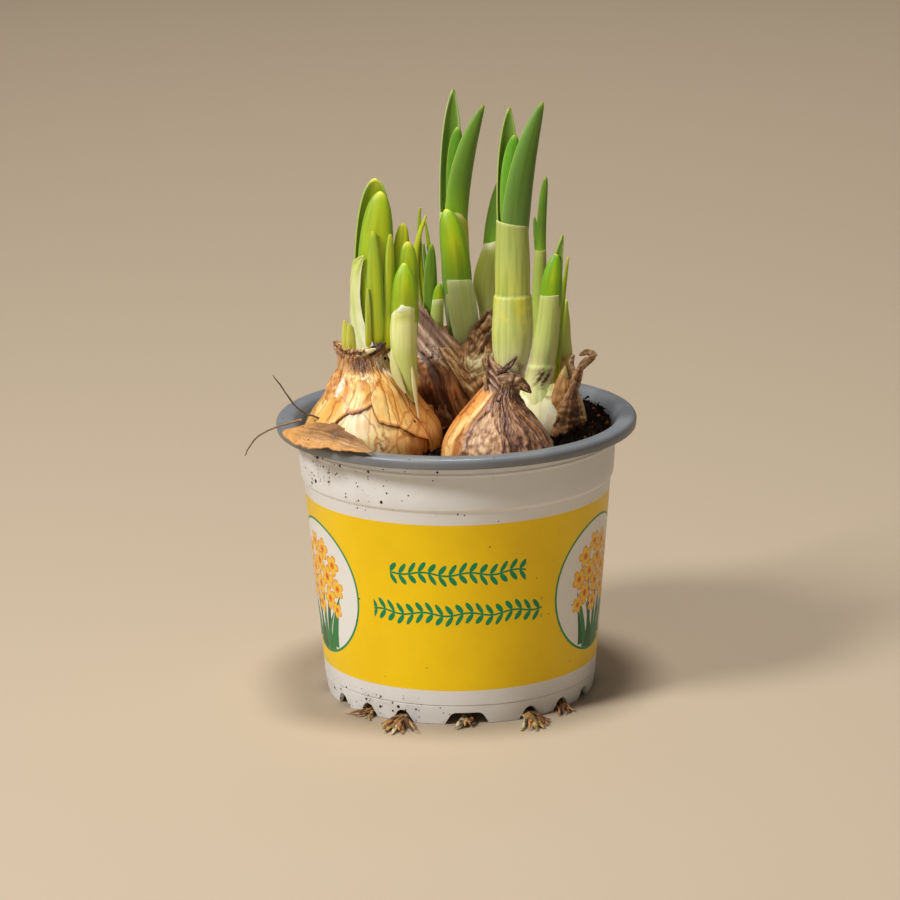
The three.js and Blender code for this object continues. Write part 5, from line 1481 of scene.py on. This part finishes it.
finishPiece(joinAll([
    addRound("arched", leftFrontLevels, leftFrontPaint, slant=3.6, slantAzimuth=8, rings=70),
    addBlade("tornTip", {
        "line": ((-17.2, -17.35, 132.6), (-17.0, -17.3, 134.2), (-16.6, -16.8, 135.2)), "half": 1.5,
        "cup": 0.4, "thick": 0.5, "taper": (1.6, 0.7), "torn": 0.2, "seed": 5,
    }, lambda u, v: (236, 238, 196), across=12, along=16),
    addBlade("drySpike", {
        "line": ((-14.3, -16.9, 114.5), (-13.4, -18.2, 105), (-12.3, -18.3, 97.2)), "half": 0.95,
        "facing": 20, "cup": 0.4, "thick": 0.6, "waist": 0.15, "full": 0.5, "taper": (1.4, 1.0), "seed": 5,
    }, lambda u, v: mix((228, 214, 156), (242, 228, 186), v), across=10, along=26),
    addBlade("sideScale", {
        "line": ((-16.6, -17.4, 105.5), (-21.2, -17.0, 113), (-20.6, -15.4, 121.6)), "half": 1.9,
        "facing": -12, "cup": 0.6, "thick": 0.6, "waist": 0.15, "full": 0.6, "taper": (1.8, 0.8), "seed": 7,
    }, lambda u, v: mix((232, 220, 160), (222, 226, 136), v), across=12, along=26),
], "leftFrontSheath"), sheathMaterial, "sheath", "left_front_sheath")
finishPiece(closedPair("leftFrontLeaf", {
    "line": ((-16.3, -14, 129), (-16, -14.4, 141), (-16.3, -14, 147.8)), "half": 4.3, "cup": 3.1,
    "taper": (2.5, 0.62), "thick": 1.4,
}, {
    "line": ((-16.3, -14, 129), (-16, -13.6, 141), (-16.3, -13.8, 147.2)), "half": 4.3, "facing": 180,
    "cup": 3.1, "taper": (2.5, 0.62), "thick": 1.4,
}, {**youngLook, "base": (176, 196, 40), "middle": (150, 186, 22)}, 12),
    leafMaterial, "young_leaf", "left_front_leaf")

finishPiece(joinAll([
    addBlade("rearBroad", {
        "line": ((-17.2, -8, 105), (-16.2, -8.4, 135), (-14.9, -8.4, 153.9)), "half": 4.15, "cup": 1.9,
        "waist": 0.55, "taper": (5, 0.5), "thick": 1.2,
    }, leafPaint(youngLook, seed=21)),
    addBlade("rearNarrow", {
        "line": ((-17.6, -7, 105), (-18.8, -6.4, 138), (-16.4, -5.8, 159.6)), "half": 2.95, "cup": 1.1,
        "taper": (6, 0.45),
    }, leafPaint(youngLook, middle=(196, 210, 20), seed=23)),
], "leftRearLeaves"), leafMaterial, "young_leaf", "left_rear_leaves")

# back bulb's shoots
finishPiece(addRound("backTallSheath", [
    [106, 2, 26, 3.4, 3], [113, 1.8, 26, 3.9, 3.4], [125, 1.3, 26, 4.7, 3.9], [140, 0.6, 26, 4.9, 3.9],
    [150, 0.35, 26, 4.8, 3.8], [157.2, 0.2, 26, 4.6, 3.6],
], sheathPaint(paleLook, low=(196, 210, 130), high=(214, 214, 40), top=(236, 232, 140), seed=31, start=0.4),
    slant=0.3, slantAzimuth=40), sheathMaterial, "sheath", "back_tall_sheath")
finishPiece(joinAll([
    addBlade("backTallRear", {
        "line": ((-0.2, 26.6, 153), (-0.6, 27.4, 180), (0.8, 26.8, 198.6)), "half": 4.1, "facing": 180,
        "cup": 2.6,
    }, leafPaint(deepLook, seed=33, edge=(176, 204, 150), edgeShare=0.8)),
    addBlade("backTallMiddle", {
        "line": ((0.8, 25.8, 153), (0.0, 25.4, 174), (2.2, 25.2, 185.8)), "half": 2.6, "cup": 1.2,
        "taper": (4, 0.52),
    }, leafPaint(deepLook, middle=(96, 152, 20), seed=35)),
    addBlade("backTallRight", {
        "line": ((0.9, 25, 153), (2.2, 23.6, 177), (10.9, 23.2, 193.5)), "half": 3.8, "facing": 10,
        "cup": 2.2, "taper": (2.6, 0.8),
    }, leafPaint(deepLook, seed=37, base=(136, 184, 20))),
], "backTallLeaves"), leafMaterial, "green_leaf", "back_tall_leaves")

finishPiece(addRound("backFrontSheath", [
    [104, 4.6, 21.4, 2.8, 2.6], [112, 4.2, 20.8, 3.9, 3.4], [120, 3.4, 20.2, 4.8, 3.9],
    [128.2, 2.25, 20, 5, 4], [135.6, 1.2, 20, 4.7, 3.8],
], sheathPaint(paleLook, low=(222, 228, 160), high=(190, 206, 132), top=(214, 224, 160), seed=41),
    slant=0.1, slantAzimuth=-60), sheathMaterial, "sheath", "back_front_sheath")
finishPiece(closedPair("backFrontLeaf", {
    "line": ((1.3, 20, 131), (0.6, 19.8, 150), (-2.3, 20, 158.7)), "half": 4.65,
    "cup": 3.4, "taper": (3, 0.55), "thick": 1.5,
}, {
    "line": ((1.3, 20, 131), (0.6, 20.4, 149), (-2.1, 20.4, 157)), "half": 4.6, "facing": 180, "cup": 3.2,
    "taper": (3, 0.55), "thick": 1.5,
}, {**youngLook, "base": (116, 168, 40), "middle": (140, 182, 20), "glow": 0.8}, 43),
    leafMaterial, "young_leaf", "back_front_leaf")

finishPiece(addRound("backLeaningSheath", [
    [108, 11, 29, 2.4, 2.4], [121.5, 11.3, 30, 3, 2.8], [132, 10.8, 31, 4.3, 3.4], [146, 13.5, 31, 3.3, 2.8],
], sheathPaint(paleLook, low=(228, 228, 160), high=(206, 214, 104), seed=47), slant=0.8, slantAzimuth=90),
    sheathMaterial, "sheath", "back_leaning_sheath")
finishPiece(addBlade("backLeaningLeaf", {
    "line": ((13.3, 31, 142), (14.4, 31, 158), (17, 31, 169)), "half": 3.2,
    "cup": 2, "taper": (2, 0.8), "thick": 1.6,
}, leafPaint(deepLook, base=(120, 176, 20), seed=49)), leafMaterial, "green_leaf", "back_leaning_leaf")

finishPiece(addRound("backSmallSheath", [
    [109, -4.6, 20.8, 1.6, 1.6], [117.5, -5.6, 19.6, 1.9, 1.8], [121.7, -6, 19, 2.25, 2],
    [128.6, -5.5, 19, 1.9, 1.8],
], sheathPaint(paleLook, low=(214, 226, 150), high=(186, 206, 110), seed=51), sides=24, rings=30, slant=0.3),
    sheathMaterial, "sheath", "back_small_sheath")
finishPiece(addBlade("backSmallLeaf", {
    "line": ((-5.6, 19.2, 126), (-5.4, 19.1, 131.6), (-4.8, 19, 134)), "half": 1.75, "cup": 1.2,
    "taper": (2, 0.8), "thick": 1.5,
}, leafPaint(youngLook, base=(130, 178, 30), middle=(136, 184, 24), seed=53)),
    leafMaterial, "young_leaf", "back_small_leaf")

thinLeaves = [
    {"line": ((-7.7, 22.8, 112), (-8.6, 21.8, 132), (-7.2, 21.4, 147.1)), "half": 2.4, "cup": 1.2,
        "taper": (3.5, 0.6)},
    {"line": ((-8.2, 24.4, 112), (-17.5, 24.6, 138), (-9, 24.2, 156.3)), "half": 1.25, "facing": -10,
        "cup": 0.6},
    {"line": ((-8, 25, 112), (-12.6, 25.4, 140), (-11, 25, 158.9)), "half": 0.8, "cup": 0.5},
    {"line": ((-7, 24.6, 112), (-6.6, 24.6, 136), (-9.3, 24.4, 154.2)), "half": 0.8, "cup": 0.5},
    {"line": ((-7.6, 23.6, 112), (-8.6, 23.4, 132), (-10.1, 23.4, 147)), "half": 0.8, "cup": 0.5},
]
finishPiece(joinAll([
    addBlade(f"thinLeaf{index}", {"taper": (3, 0.7), "thick": 1.0, **leaf}, leafPaint(
        {**(deepLook if index in (0, 4) else youngLook), "glow": 0.2, "seed": 60 + index,
         **({"middle": (206, 218, 50), "edge": (190, 206, 60)} if index == 1 else {})}), across=8)
    for index, leaf in enumerate(thinLeaves)], "backThinLeaves"),
    leafMaterial, "green_leaf", "back_thin_leaves")

# front bulb's thick shoot: an older sheath ends in a ring partway up
frontSheathLevels = [
    [104, 16, -27.5, 4, 3.6], [112, 17, -27.4, 4.8, 4.2], [116.7, 17.8, -27.3, 5.4, 4.6],
    [122, 18.3, -27.25, 6.3, 5.15], [128, 18.6, -27.2, 6.7, 5.4], [134, 18.75, -27.15, 6.5, 5.25],
    [139.4, 18.8, -27.1, 6.15, 5.05], [139.9, 18.8, -27.1, 6.0, 4.9], [140.3, 18.8, -27.1, 5.7, 4.7],
    [150, 18.85, -27, 5.7, 4.6], [163.6, 18.95, -27, 5.15, 4],
]


def frontSheathPaint(u, share, v):
    z = 104 + share * 59.6
    azimuth = u * 360 - 180
    lower = mix((232, 232, 184), (214, 222, 130), ease(114, 128, z))
    lower = mix(lower, (222, 220, 70), ease(128, 138, z) * (0.5 + 0.8 * rough(u * 6, z * 0.05, 70)))
    upper = mix((206, 214, 100), (184, 196, 104), ease(141, 158, z))
    colour = mix(lower, upper, ease(139.6, 140.2, z))
    colour = mix(colour, (228, 230, 150), near(z, 139.7, 0.45) * 0.7)
    colour = mix(colour, (186, 196, 120), near(z, 140.7, 1.0) * 0.5)
    stripe = rough(u * 30, z * 0.03 + (z > 140) * 5, 71, 2)
    colour = mix(colour, (146, 168, 66), ease(0.0, 0.5, stripe) * (0.6 if z > 140 else 0.35))
    blot = ease(0.2, 0.6, rough(u * 9, z * 0.22, 77)) * near(z, 133, 8)
    colour = mix(colour, (240, 232, 90), blot * 0.6)
    stain = ease(0.05, 0.4, rough(azimuth * 0.05 + z * 0.3, z * 0.3, 79)) * near(z, 115.5, 5) * near(azimuth,
        24, 44)
    colour = mix(colour, (110, 72, 40), stain)
    # the wall turned inwards at the open top is painted darker: painted shade inside the opening
    return (170, 176, 110) if v > 0.81 else mix(colour, (214, 220, 156), ease(162.6, 163.4, z) * 0.6)


finishPiece(addRound("frontSheath", frontSheathLevels, frontSheathPaint, sides=56, rings=150, slant=0.9,
    slantAzimuth=-90), sheathMaterial, "sheath", "front_sheath")
finishPiece(joinAll([
    addBlade("frontRear", {
        "line": ((18.2, -26.4, 159), (17.4, -25.8, 184), (18.5, -25.6, 200.9)), "half": 3.9, "facing": 180,
        "cup": 2.6,
    }, leafPaint(deepLook, seed=81)),
    addBlade("frontMiddle", {
        "line": ((19, -27.2, 159), (17.6, -27.4, 178), (20.2, -27, 192.1)), "half": 3.3, "cup": 1.3,
        "taper": (3.5, 0.55),
    }, leafPaint(deepLook, seed=83, base=(96, 160, 10), middle=(96, 164, 14))),
    addBlade("frontRight", {
        "line": ((19.6, -27.3, 158), (20.9, -28.6, 184), (29.2, -28.6, 202.9)), "half": 4.5, "facing": 8,
        "cup": 2.8, "waist": 0.9, "full": 0.2, "taper": (2.2, 0.72),
    }, leafPaint(deepLook, base=(104, 140, 56), middle=(94, 134, 40), edge=(140, 180, 90), seed=85)),
], "frontLeaves"), leafMaterial, "green_leaf", "front_leaves")

# right bulb's shoots


def rightFrontPaint(u, share, v):
    z = 98 + share * 36.8
    azimuth = u * 360 - 180
    colour = mix((232, 232, 168), (206, 216, 122), ease(108, 124, z))
    colour = mix(colour, (222, 226, 160), ease(133.4, 134.6, z) * 0.7)
    stripe = rough(u * 26, z * 0.03, 91, 2)
    colour = mix(colour, (150, 174, 84), ease(0.0, 0.6, stripe) * 0.45)
    scar = ease(-0.05, 0.3, rough(azimuth * 0.06 - z * 0.42, z * 0.2, 93)) * near(z, 107.2,
        4.2) * near(azimuth, 12, 44)
    colour = mix(colour, (92, 52, 32), 2.2 * scar)
    # the wall turned inwards at the open top is painted darker: painted shade inside the opening
    return (170, 176, 110) if v > 0.81 else colour


finishPiece(addRound("rightFrontSheath", [
    [98, 28, -3.4, 7.6, 5.4], [101, 27.6, -3.4, 6.2, 4.8], [104.6, 27.6, -3.2, 5.1, 4.2],
    [108, 28.1, -3.3, 4.75, 4.05], [110.6, 28.55, -3.6, 4.65, 4], [111.0, 28.6, -3.6, 4.5, 3.9],
    [111.5, 28.7, -3.7, 4.22, 3.62], [117.5, 29.65, -4, 4.25, 3.6], [126.2, 30.9, -4, 3.8, 3.3],
    [134.8, 31.65, -4, 3.5, 3],
], rightFrontPaint, rings=80, slant=0.15, slantAzimuth=100), sheathMaterial, "sheath", "right_front_sheath")
finishPiece(joinAll([
    addBlade("rightFrontBroad", {
        "line": ((31.6, -4, 131), (32.2, -4.2, 141.4), (33.7, -4, 148.1)), "half": 3.5, "cup": 2.6,
        "taper": (2.2, 0.62), "thick": 1.4,
    }, leafPaint(youngLook, base=(130, 180, 20), middle=(112, 172, 16), edge=(140, 180, 50), seed=95)),
    addBlade("rightFrontRear", {
        "line": ((32.5, -3.3, 131), (33.6, -2.8, 144), (35.8, -2.4, 154.4)), "half": 2.1, "facing": 180,
        "cup": 1.3, "taper": (2, 0.8), "thick": 1.2,
    }, leafPaint(deepLook, seed=97)),
], "rightFrontLeaves"), leafMaterial, "green_leaf", "right_front_leaves")


def sideShootPaint(u, share, v):
    z = 98 + share * 33.2
    colour = mix((206, 160, 90), (196, 206, 110), ease(108, 116, z))
    colour = mix(colour, (170, 190, 60), ease(116, 128, z))
    colour = mix(colour, (122, 78, 40), ease(0.0, 0.4, rough(u * 8, z * 0.25, 99)) * (1 - ease(109, 114, z)))
    return mix(colour, (170, 188, 80), ease(0.1, 0.6, rough(u * 20, z * 0.03, 98)) * 0.35)


finishPiece(addRound("rightSideShoot", [
    [98, 34.8, 4, 2.6, 2.6], [105.3, 35.6, 4.6, 3.3, 3], [112, 35.8, 5.2, 3.3, 3],
    [117.6, 35.7, 5.3, 2.9, 2.7], [124, 36.1, 5.4, 2.2, 2.1], [128, 36.5, 5.4, 1.3, 1.3],
    [131.2, 37.2, 5.4, 0.4, 0.4],
], sideShootPaint, sides=32, pointed=True), leafMaterial, "green_leaf", "right_side_shoot")
finishPiece(addBlade("rightThinLeaf", {
    "line": ((33.4, 0.9, 102), (34.4, 0.9, 125), (37.8, 1.3, 146.1)), "half": 0.95, "cup": 0.5,
    "taper": (3, 0.7), "thick": 0.9,
}, leafPaint(youngLook, glow=0, seed=101), across=8), leafMaterial, "green_leaf", "right_thin_leaf")
finishPiece(addRound("rightRearSheath", [
    [98, 29.5, 7.4, 2, 2], [110, 29, 8.6, 2.5, 2.3], [124.5, 28.3, 9.6, 2.6, 2.3], [130, 28.3, 10, 2.5, 2.2],
    [146.8, 28.9, 10, 1.9, 1.8],
], sheathPaint(paleLook, low=(196, 208, 110), high=(170, 192, 84), top=(180, 190, 96), seed=103), sides=28),
    sheathMaterial, "sheath", "right_rear_sheath")
finishPiece(joinAll([
    addBlade("rightRearTall", {
        "line": ((29.1, 9.8, 144), (29, 9.9, 160), (30.9, 10, 171.4)), "half": 1.4, "cup": 0.9,
        "taper": (3.5, 0.5),
    }, leafPaint(deepLook, seed=105), across=10),
    addBlade("rightRearShort", {
        "line": ((28.3, 10.3, 144), (27.6, 10.3, 152), (26.9, 10.2, 157.9)), "half": 1.1, "facing": -20,
        "cup": 0.6, "thick": 0.9,
    }, leafPaint(deepLook, seed=107), across=10),
], "rightRearLeaves"), leafMaterial, "green_leaf", "right_rear_leaves")
print("shoots ready")


# loose husk and hair-fine roots at the rim


def huskPaint(u, v):
    vein = rough(u * 9, v * 0.7, 111, 2)
    colour = mix((150, 106, 62), (206, 162, 106), 0.5 + 1.3 * vein)
    colour = mix(colour, (226, 166, 92), max(1 - ease(0.1, 0.3, v), ease(0.62, 0.8, u)) * 0.8)
    colour = mix(colour, (96, 66, 42), ease(0.05, 0.5, rough(u * 5, v * 2.2, 113)) * 0.75
        * near(v, 0.5, 0.45))
    return mix(colour, (100, 66, 42), ease(0.9, 1, abs(2 * u - 1)) * 0.6)


finishPiece(addBlade("looseHusk", {
    "line": ((-56.4, -25.4, 95.4), (-43.6, -40.8, 98.2), (-27.2, -54.2, 95.4)), "half": 8.0,
    "out": (-0.2, -0.3, 0.93), "cup": 1.6, "thick": 0.6, "waist": 0.12, "full": 0.5, "taper": (2.4, 0.9),
    "ripple": 0.7, "torn": 1.0, "seed": 9, "edgeWall": 0.8,
}, huskPaint, across=50, along=90), dryMaterial, "dry_husk", "loose_husk")


def addStrand(name, points, radii, paint, sides=9, rings=40, wobble=0.0, flat=1.0, seed=1):
    rows = [[index, *point, radius] for index, (point, radius) in enumerate(zip(points, radii))]
    last = len(points) - 1

    def spot(u, v):
        x, y, z, radius = curveAt(rows, v * last)
        ahead = Vector(curveAt(rows, min(last, v * last + 0.02))[:3]) - Vector(curveAt(rows,
            max(0, v * last - 0.02))[:3])
        along = ahead.normalized()
        side = along.cross(upward if abs(along.z) < 0.95 else Vector((1, 0, 0))).normalized()
        top = side.cross(along)
        shift = side * wobble * rough(v * last * 1.7, seed) + top * wobble * 0.5 * rough(v * last * 1.9,
            seed + 4)
        angle = u * math.tau
        swell = radius * (1 + 0.18 * rough(v * last * 4, seed, u * 2)) if 0 < v < 1 else 0.004
        centre = Vector((x, y, z)) + shift * min(1, v * 6)
        return centre + side * swell * math.cos(angle) + top * swell * flat * math.sin(angle)
    return addSheet(name, sides, rings, spot, paint, closed=True)


finishPiece(addStrand("hairUpper", [
    (-42.6, -14.6, 95.8), (-46.6, -15.6, 97.6), (-51.4, -16, 100), (-56.1, -16, 106.2), (-60.1, -16, 112),
], [0.42, 0.36, 0.3, 0.26, 0.16], lambda u, v: mix((120, 92, 64), (70, 52, 38), v), rings=60, wobble=0.35,
seed=2), rootMaterial, "root", "hair_root_upper")
finishPiece(addStrand("hairLower", [
    (-50.5, -21.2, 98), (-54.5, -21.6, 97.2), (-59.4, -22.6, 95.8), (-66, -24.4, 92.6), (-69.4, -25.6, 87.1),
], [0.42, 0.34, 0.3, 0.26, 0.16], lambda u, v: mix((170, 134, 92), (92, 70, 50), v), rings=60, wobble=0.4,
seed=5), rootMaterial, "root", "hair_root_lower")


# tufts of roots under the pot: a bundle down through the hole, then fleshy roots and torn shreds outside

cream, tan, straw = (226, 210, 168), (184, 136, 78), (210, 172, 104)
olive, umber, amber = (140, 122, 62), (122, 76, 38), (192, 136, 76)
tufts = {
    # notch azimuth, then each root: azimuth and reach of its end, radius, rise at its end, flatness, colour
    "roots_left": (-42.7, [
        (-50, 50.5, 0.5, 0.5, 0.8, straw), (-47, 50, 0.4, 0.9, 0.9, tan), (-44, 50.5, 0.5, 0.4, 0.7, amber),
        (-40, 50, 0.4, 1.2, 0.8, tan), (-37, 50.5, 0.5, 0.5, 0.7, straw)]),
    "roots_front_left": (-25.3, [
        (-30, 53, 0.7, 1.6, 0.6, amber), (-28.5, 55, 0.9, 0.7, 0.5, straw), (-27, 56, 0.8, 1.8, 0.6, amber),
        (-25.5, 58.5, 1.0, 0.5, 0.45, straw), (-24, 56, 0.8, 2.4, 0.6, tan),
        (-22.5, 59.5, 1.0, 0.4, 0.45, cream), (-21, 57, 0.8, 1.6, 0.6, amber),
        (-19.5, 58, 0.9, 0.5, 0.45, tan), (-18, 55, 0.7, 2.0, 0.6, umber),
        (-14.5, 56, 0.55, 0.8, 0.6, straw)]),
    "roots_front": (2.3, [
        (-2.6, 50.6, 1.0, 0.9, 0.9, cream), (1.2, 48.6, 0.8, 0.6, 0.9, straw),
        (3.6, 49.2, 0.6, 1.2, 0.9, amber)]),
    "roots_front_right": (29.9, [
        (19.5, 57, 0.7, 0.3, 0.9, cream), (22.5, 57.5, 0.8, 1.0, 0.6, amber),
        (24.5, 59, 1.0, 0.5, 0.5, straw), (26, 57, 0.8, 2.0, 0.6, olive), (27.5, 58, 1.0, 0.5, 0.5, straw),
        (29, 56, 0.8, 2.2, 0.7, umber),
        (30.5, 56, 0.8, 0.8, 0.6, amber), (32, 54, 0.7, 1.6, 0.6, tan), (34, 52.5, 0.5, 0.6, 0.7, umber)]),
    "roots_right": (47.3, [
        (39.5, 50, 0.6, 0.6, 0.8, tan), (42, 50.5, 0.6, 1.2, 0.8, umber), (45, 50.5, 0.6, 0.5, 0.8, amber),
        (48, 51, 0.5, 0.4, 0.8, straw)]),
    "roots_back": (154.7, [
        (150, 53, 0.7, 0.4, 0.7, straw), (154, 52, 0.5, 0.9, 0.7, tan), (158, 56, 0.7, 0.4, 0.6, cream)]),
}


def rootPaint(colour, seed):
    def paint(u, v):
        cloud = rough(v * 9, u * 2, seed)
        shade = mix(colour, tuple(c * 0.62 for c in colour), ease(0.1, 0.6, cloud))
        shade = mix(shade, (58, 38, 24), ease(0.2, 0.5, rough(v * 16, u * 4, seed + 9)) * 0.85)
        # the start of each root, where it runs under the foot, is painted dark brown: painted shade under the
        # pot
        return mix((96, 74, 54), shade, ease(0.25, 0.5, v))
    return paint


def makeTuft(name, notch, ends):
    inward, sideways = direction(notch), direction(notch + 90)
    hole = inward * 38.2
    strands = [addStrand("bundle", [
        (hole.x, hole.y, 3.6), (hole.x, hole.y, 6), (hole.x, hole.y, 9), (hole.x + 0.2, hole.y, 11),
        (hole.x, hole.y, 13.8),
    ], [1.3, 1.7, 1.8, 1.8, 1.2], rootPaint(tan, 3), sides=12)]
    for index, (azimuth, reach, radius, rise, flat, colour) in enumerate(ends):
        shift = (index - (len(ends) - 1) / 2) * min(1, 3 / len(ends))

        def lane(distance, spread, z):
            spot = inward * distance + sideways * shift * spread
            return (spot.x, spot.y, z)
        end = direction(azimuth) * reach
        middle = direction(mix(notch, azimuth, 0.62)) * mix(46, reach, 0.55)
        bow = 0.5 + 0.45 * ((index * 7) % 4)
        points = [
            lane(38.2, 0.5, 4.6), lane(40.6, 0.6, 3.2), lane(42.6, 1.3, 1.5 + 0.15 * (index % 3)),
            lane(45.4, 1.6, 1.3 + 0.3 * (index % 3)),
            (middle.x, middle.y, radius * flat + rise * 0.7 + bow * 0.5),
            (end.x, end.y, radius * flat * 0.4 + 0.15 + rise * 0.4)]
        strands.append(addStrand(
            "root", points, [radius * 0.8, radius * 0.9, radius * 0.9, radius, radius * 0.95, radius * 0.35],
            rootPaint(colour, index + 5), rings=56, wobble=0.3, flat=flat, seed=index + 3))
    return joinAll(strands, name)


for nodeName, (notch, ends) in tufts.items():
    tuft = makeTuft(nodeName.replace("roots", "tuft").title().replace("_", ""), notch, ends)
    finishPiece(tuft, rootMaterial, "root", nodeName)
print("roots ready")


# light, floor and camera

studio = {
    # place, aimed at, size, power, colour
    "key": ((-0.9, -0.66, 1.1), (0, 0, 0.08), 0.38, 17.5, (1.0, 0.98, 0.955)),
    "fill": ((-0.5, -1.35, 0.35), (0, 0, 0.06), 0.7, 1.3, (1.0, 0.96, 0.9)),
    "top": ((0.0, -0.1, 1.3), (0, 0, 0.05), 0.28, 10.0, (1.0, 0.98, 0.95)),
    "rear": ((0, 1.3, 1.5), (0, 2.6, 0), 1.6, 14.0, (1.0, 0.96, 0.9)),
    "world": ((1.0, 0.88, 0.75, 1), 0.1),
    "floor": (190, 173, 150),
}


def addLight(name, spot, aim, size, power, colour):
    light = bpy.data.lights.new(name, "AREA")
    light.shape, light.size, light.energy, light.color = "DISK", size, power, colour
    lamp = bpy.data.objects.new(name, light)
    bpy.context.scene.collection.objects.link(lamp)
    lamp.location = spot
    lamp.rotation_euler = (Vector(aim) - Vector(spot)).to_track_quat("-Z", "Y").to_euler()


for lightName in ("key", "fill", "top", "rear"):
    addLight(lightName, *studio[lightName])
world = bpy.data.worlds.new("plainRoom")
world.use_nodes = True
world.node_tree.nodes["Background"].inputs[0].default_value = studio["world"][0]
world.node_tree.nodes["Background"].inputs[1].default_value = studio["world"][1]
bpy.context.scene.world = world
bpy.context.scene.view_settings.view_transform = "Standard"

deselectAll()
bpy.ops.mesh.primitive_plane_add(size=8, location=(0, 0, 0))
floor = bpy.context.object
floor.name = "floor"
floorMaterial, _, floorShader = newMaterial("paleFloor")
floorShader.inputs["Base Color"].default_value = linear(*studio["floor"])
floorShader.inputs["Roughness"].default_value = 0.75
floor.data.materials.append(floorMaterial)

cameraView = {
    "lens": 155.78, "sensor": 36.0,
    "place": (-2.304, -1257.96, 409.33),
    "right": (0.99985872, -0.00423998, -0.01626564),
    "up": (0.01680918, 0.25220641, 0.96752745),
}
lens = bpy.data.cameras.new("camera")
lens.lens, lens.sensor_width, lens.sensor_fit = cameraView["lens"], cameraView["sensor"], "HORIZONTAL"
lens.clip_start, lens.clip_end = 0.05, 20
camera = bpy.data.objects.new("camera", lens)
bpy.context.scene.collection.objects.link(camera)
right, top = Vector(cameraView["right"]).normalized(), Vector(cameraView["up"]).normalized()
back = right.cross(top).normalized()
camera.matrix_world = Matrix.Translation(Vector(cameraView["place"])
    * mm) @ Matrix((right, top, back)).transposed().to_4x4()
bpy.context.scene.camera = camera

print("scene ready")
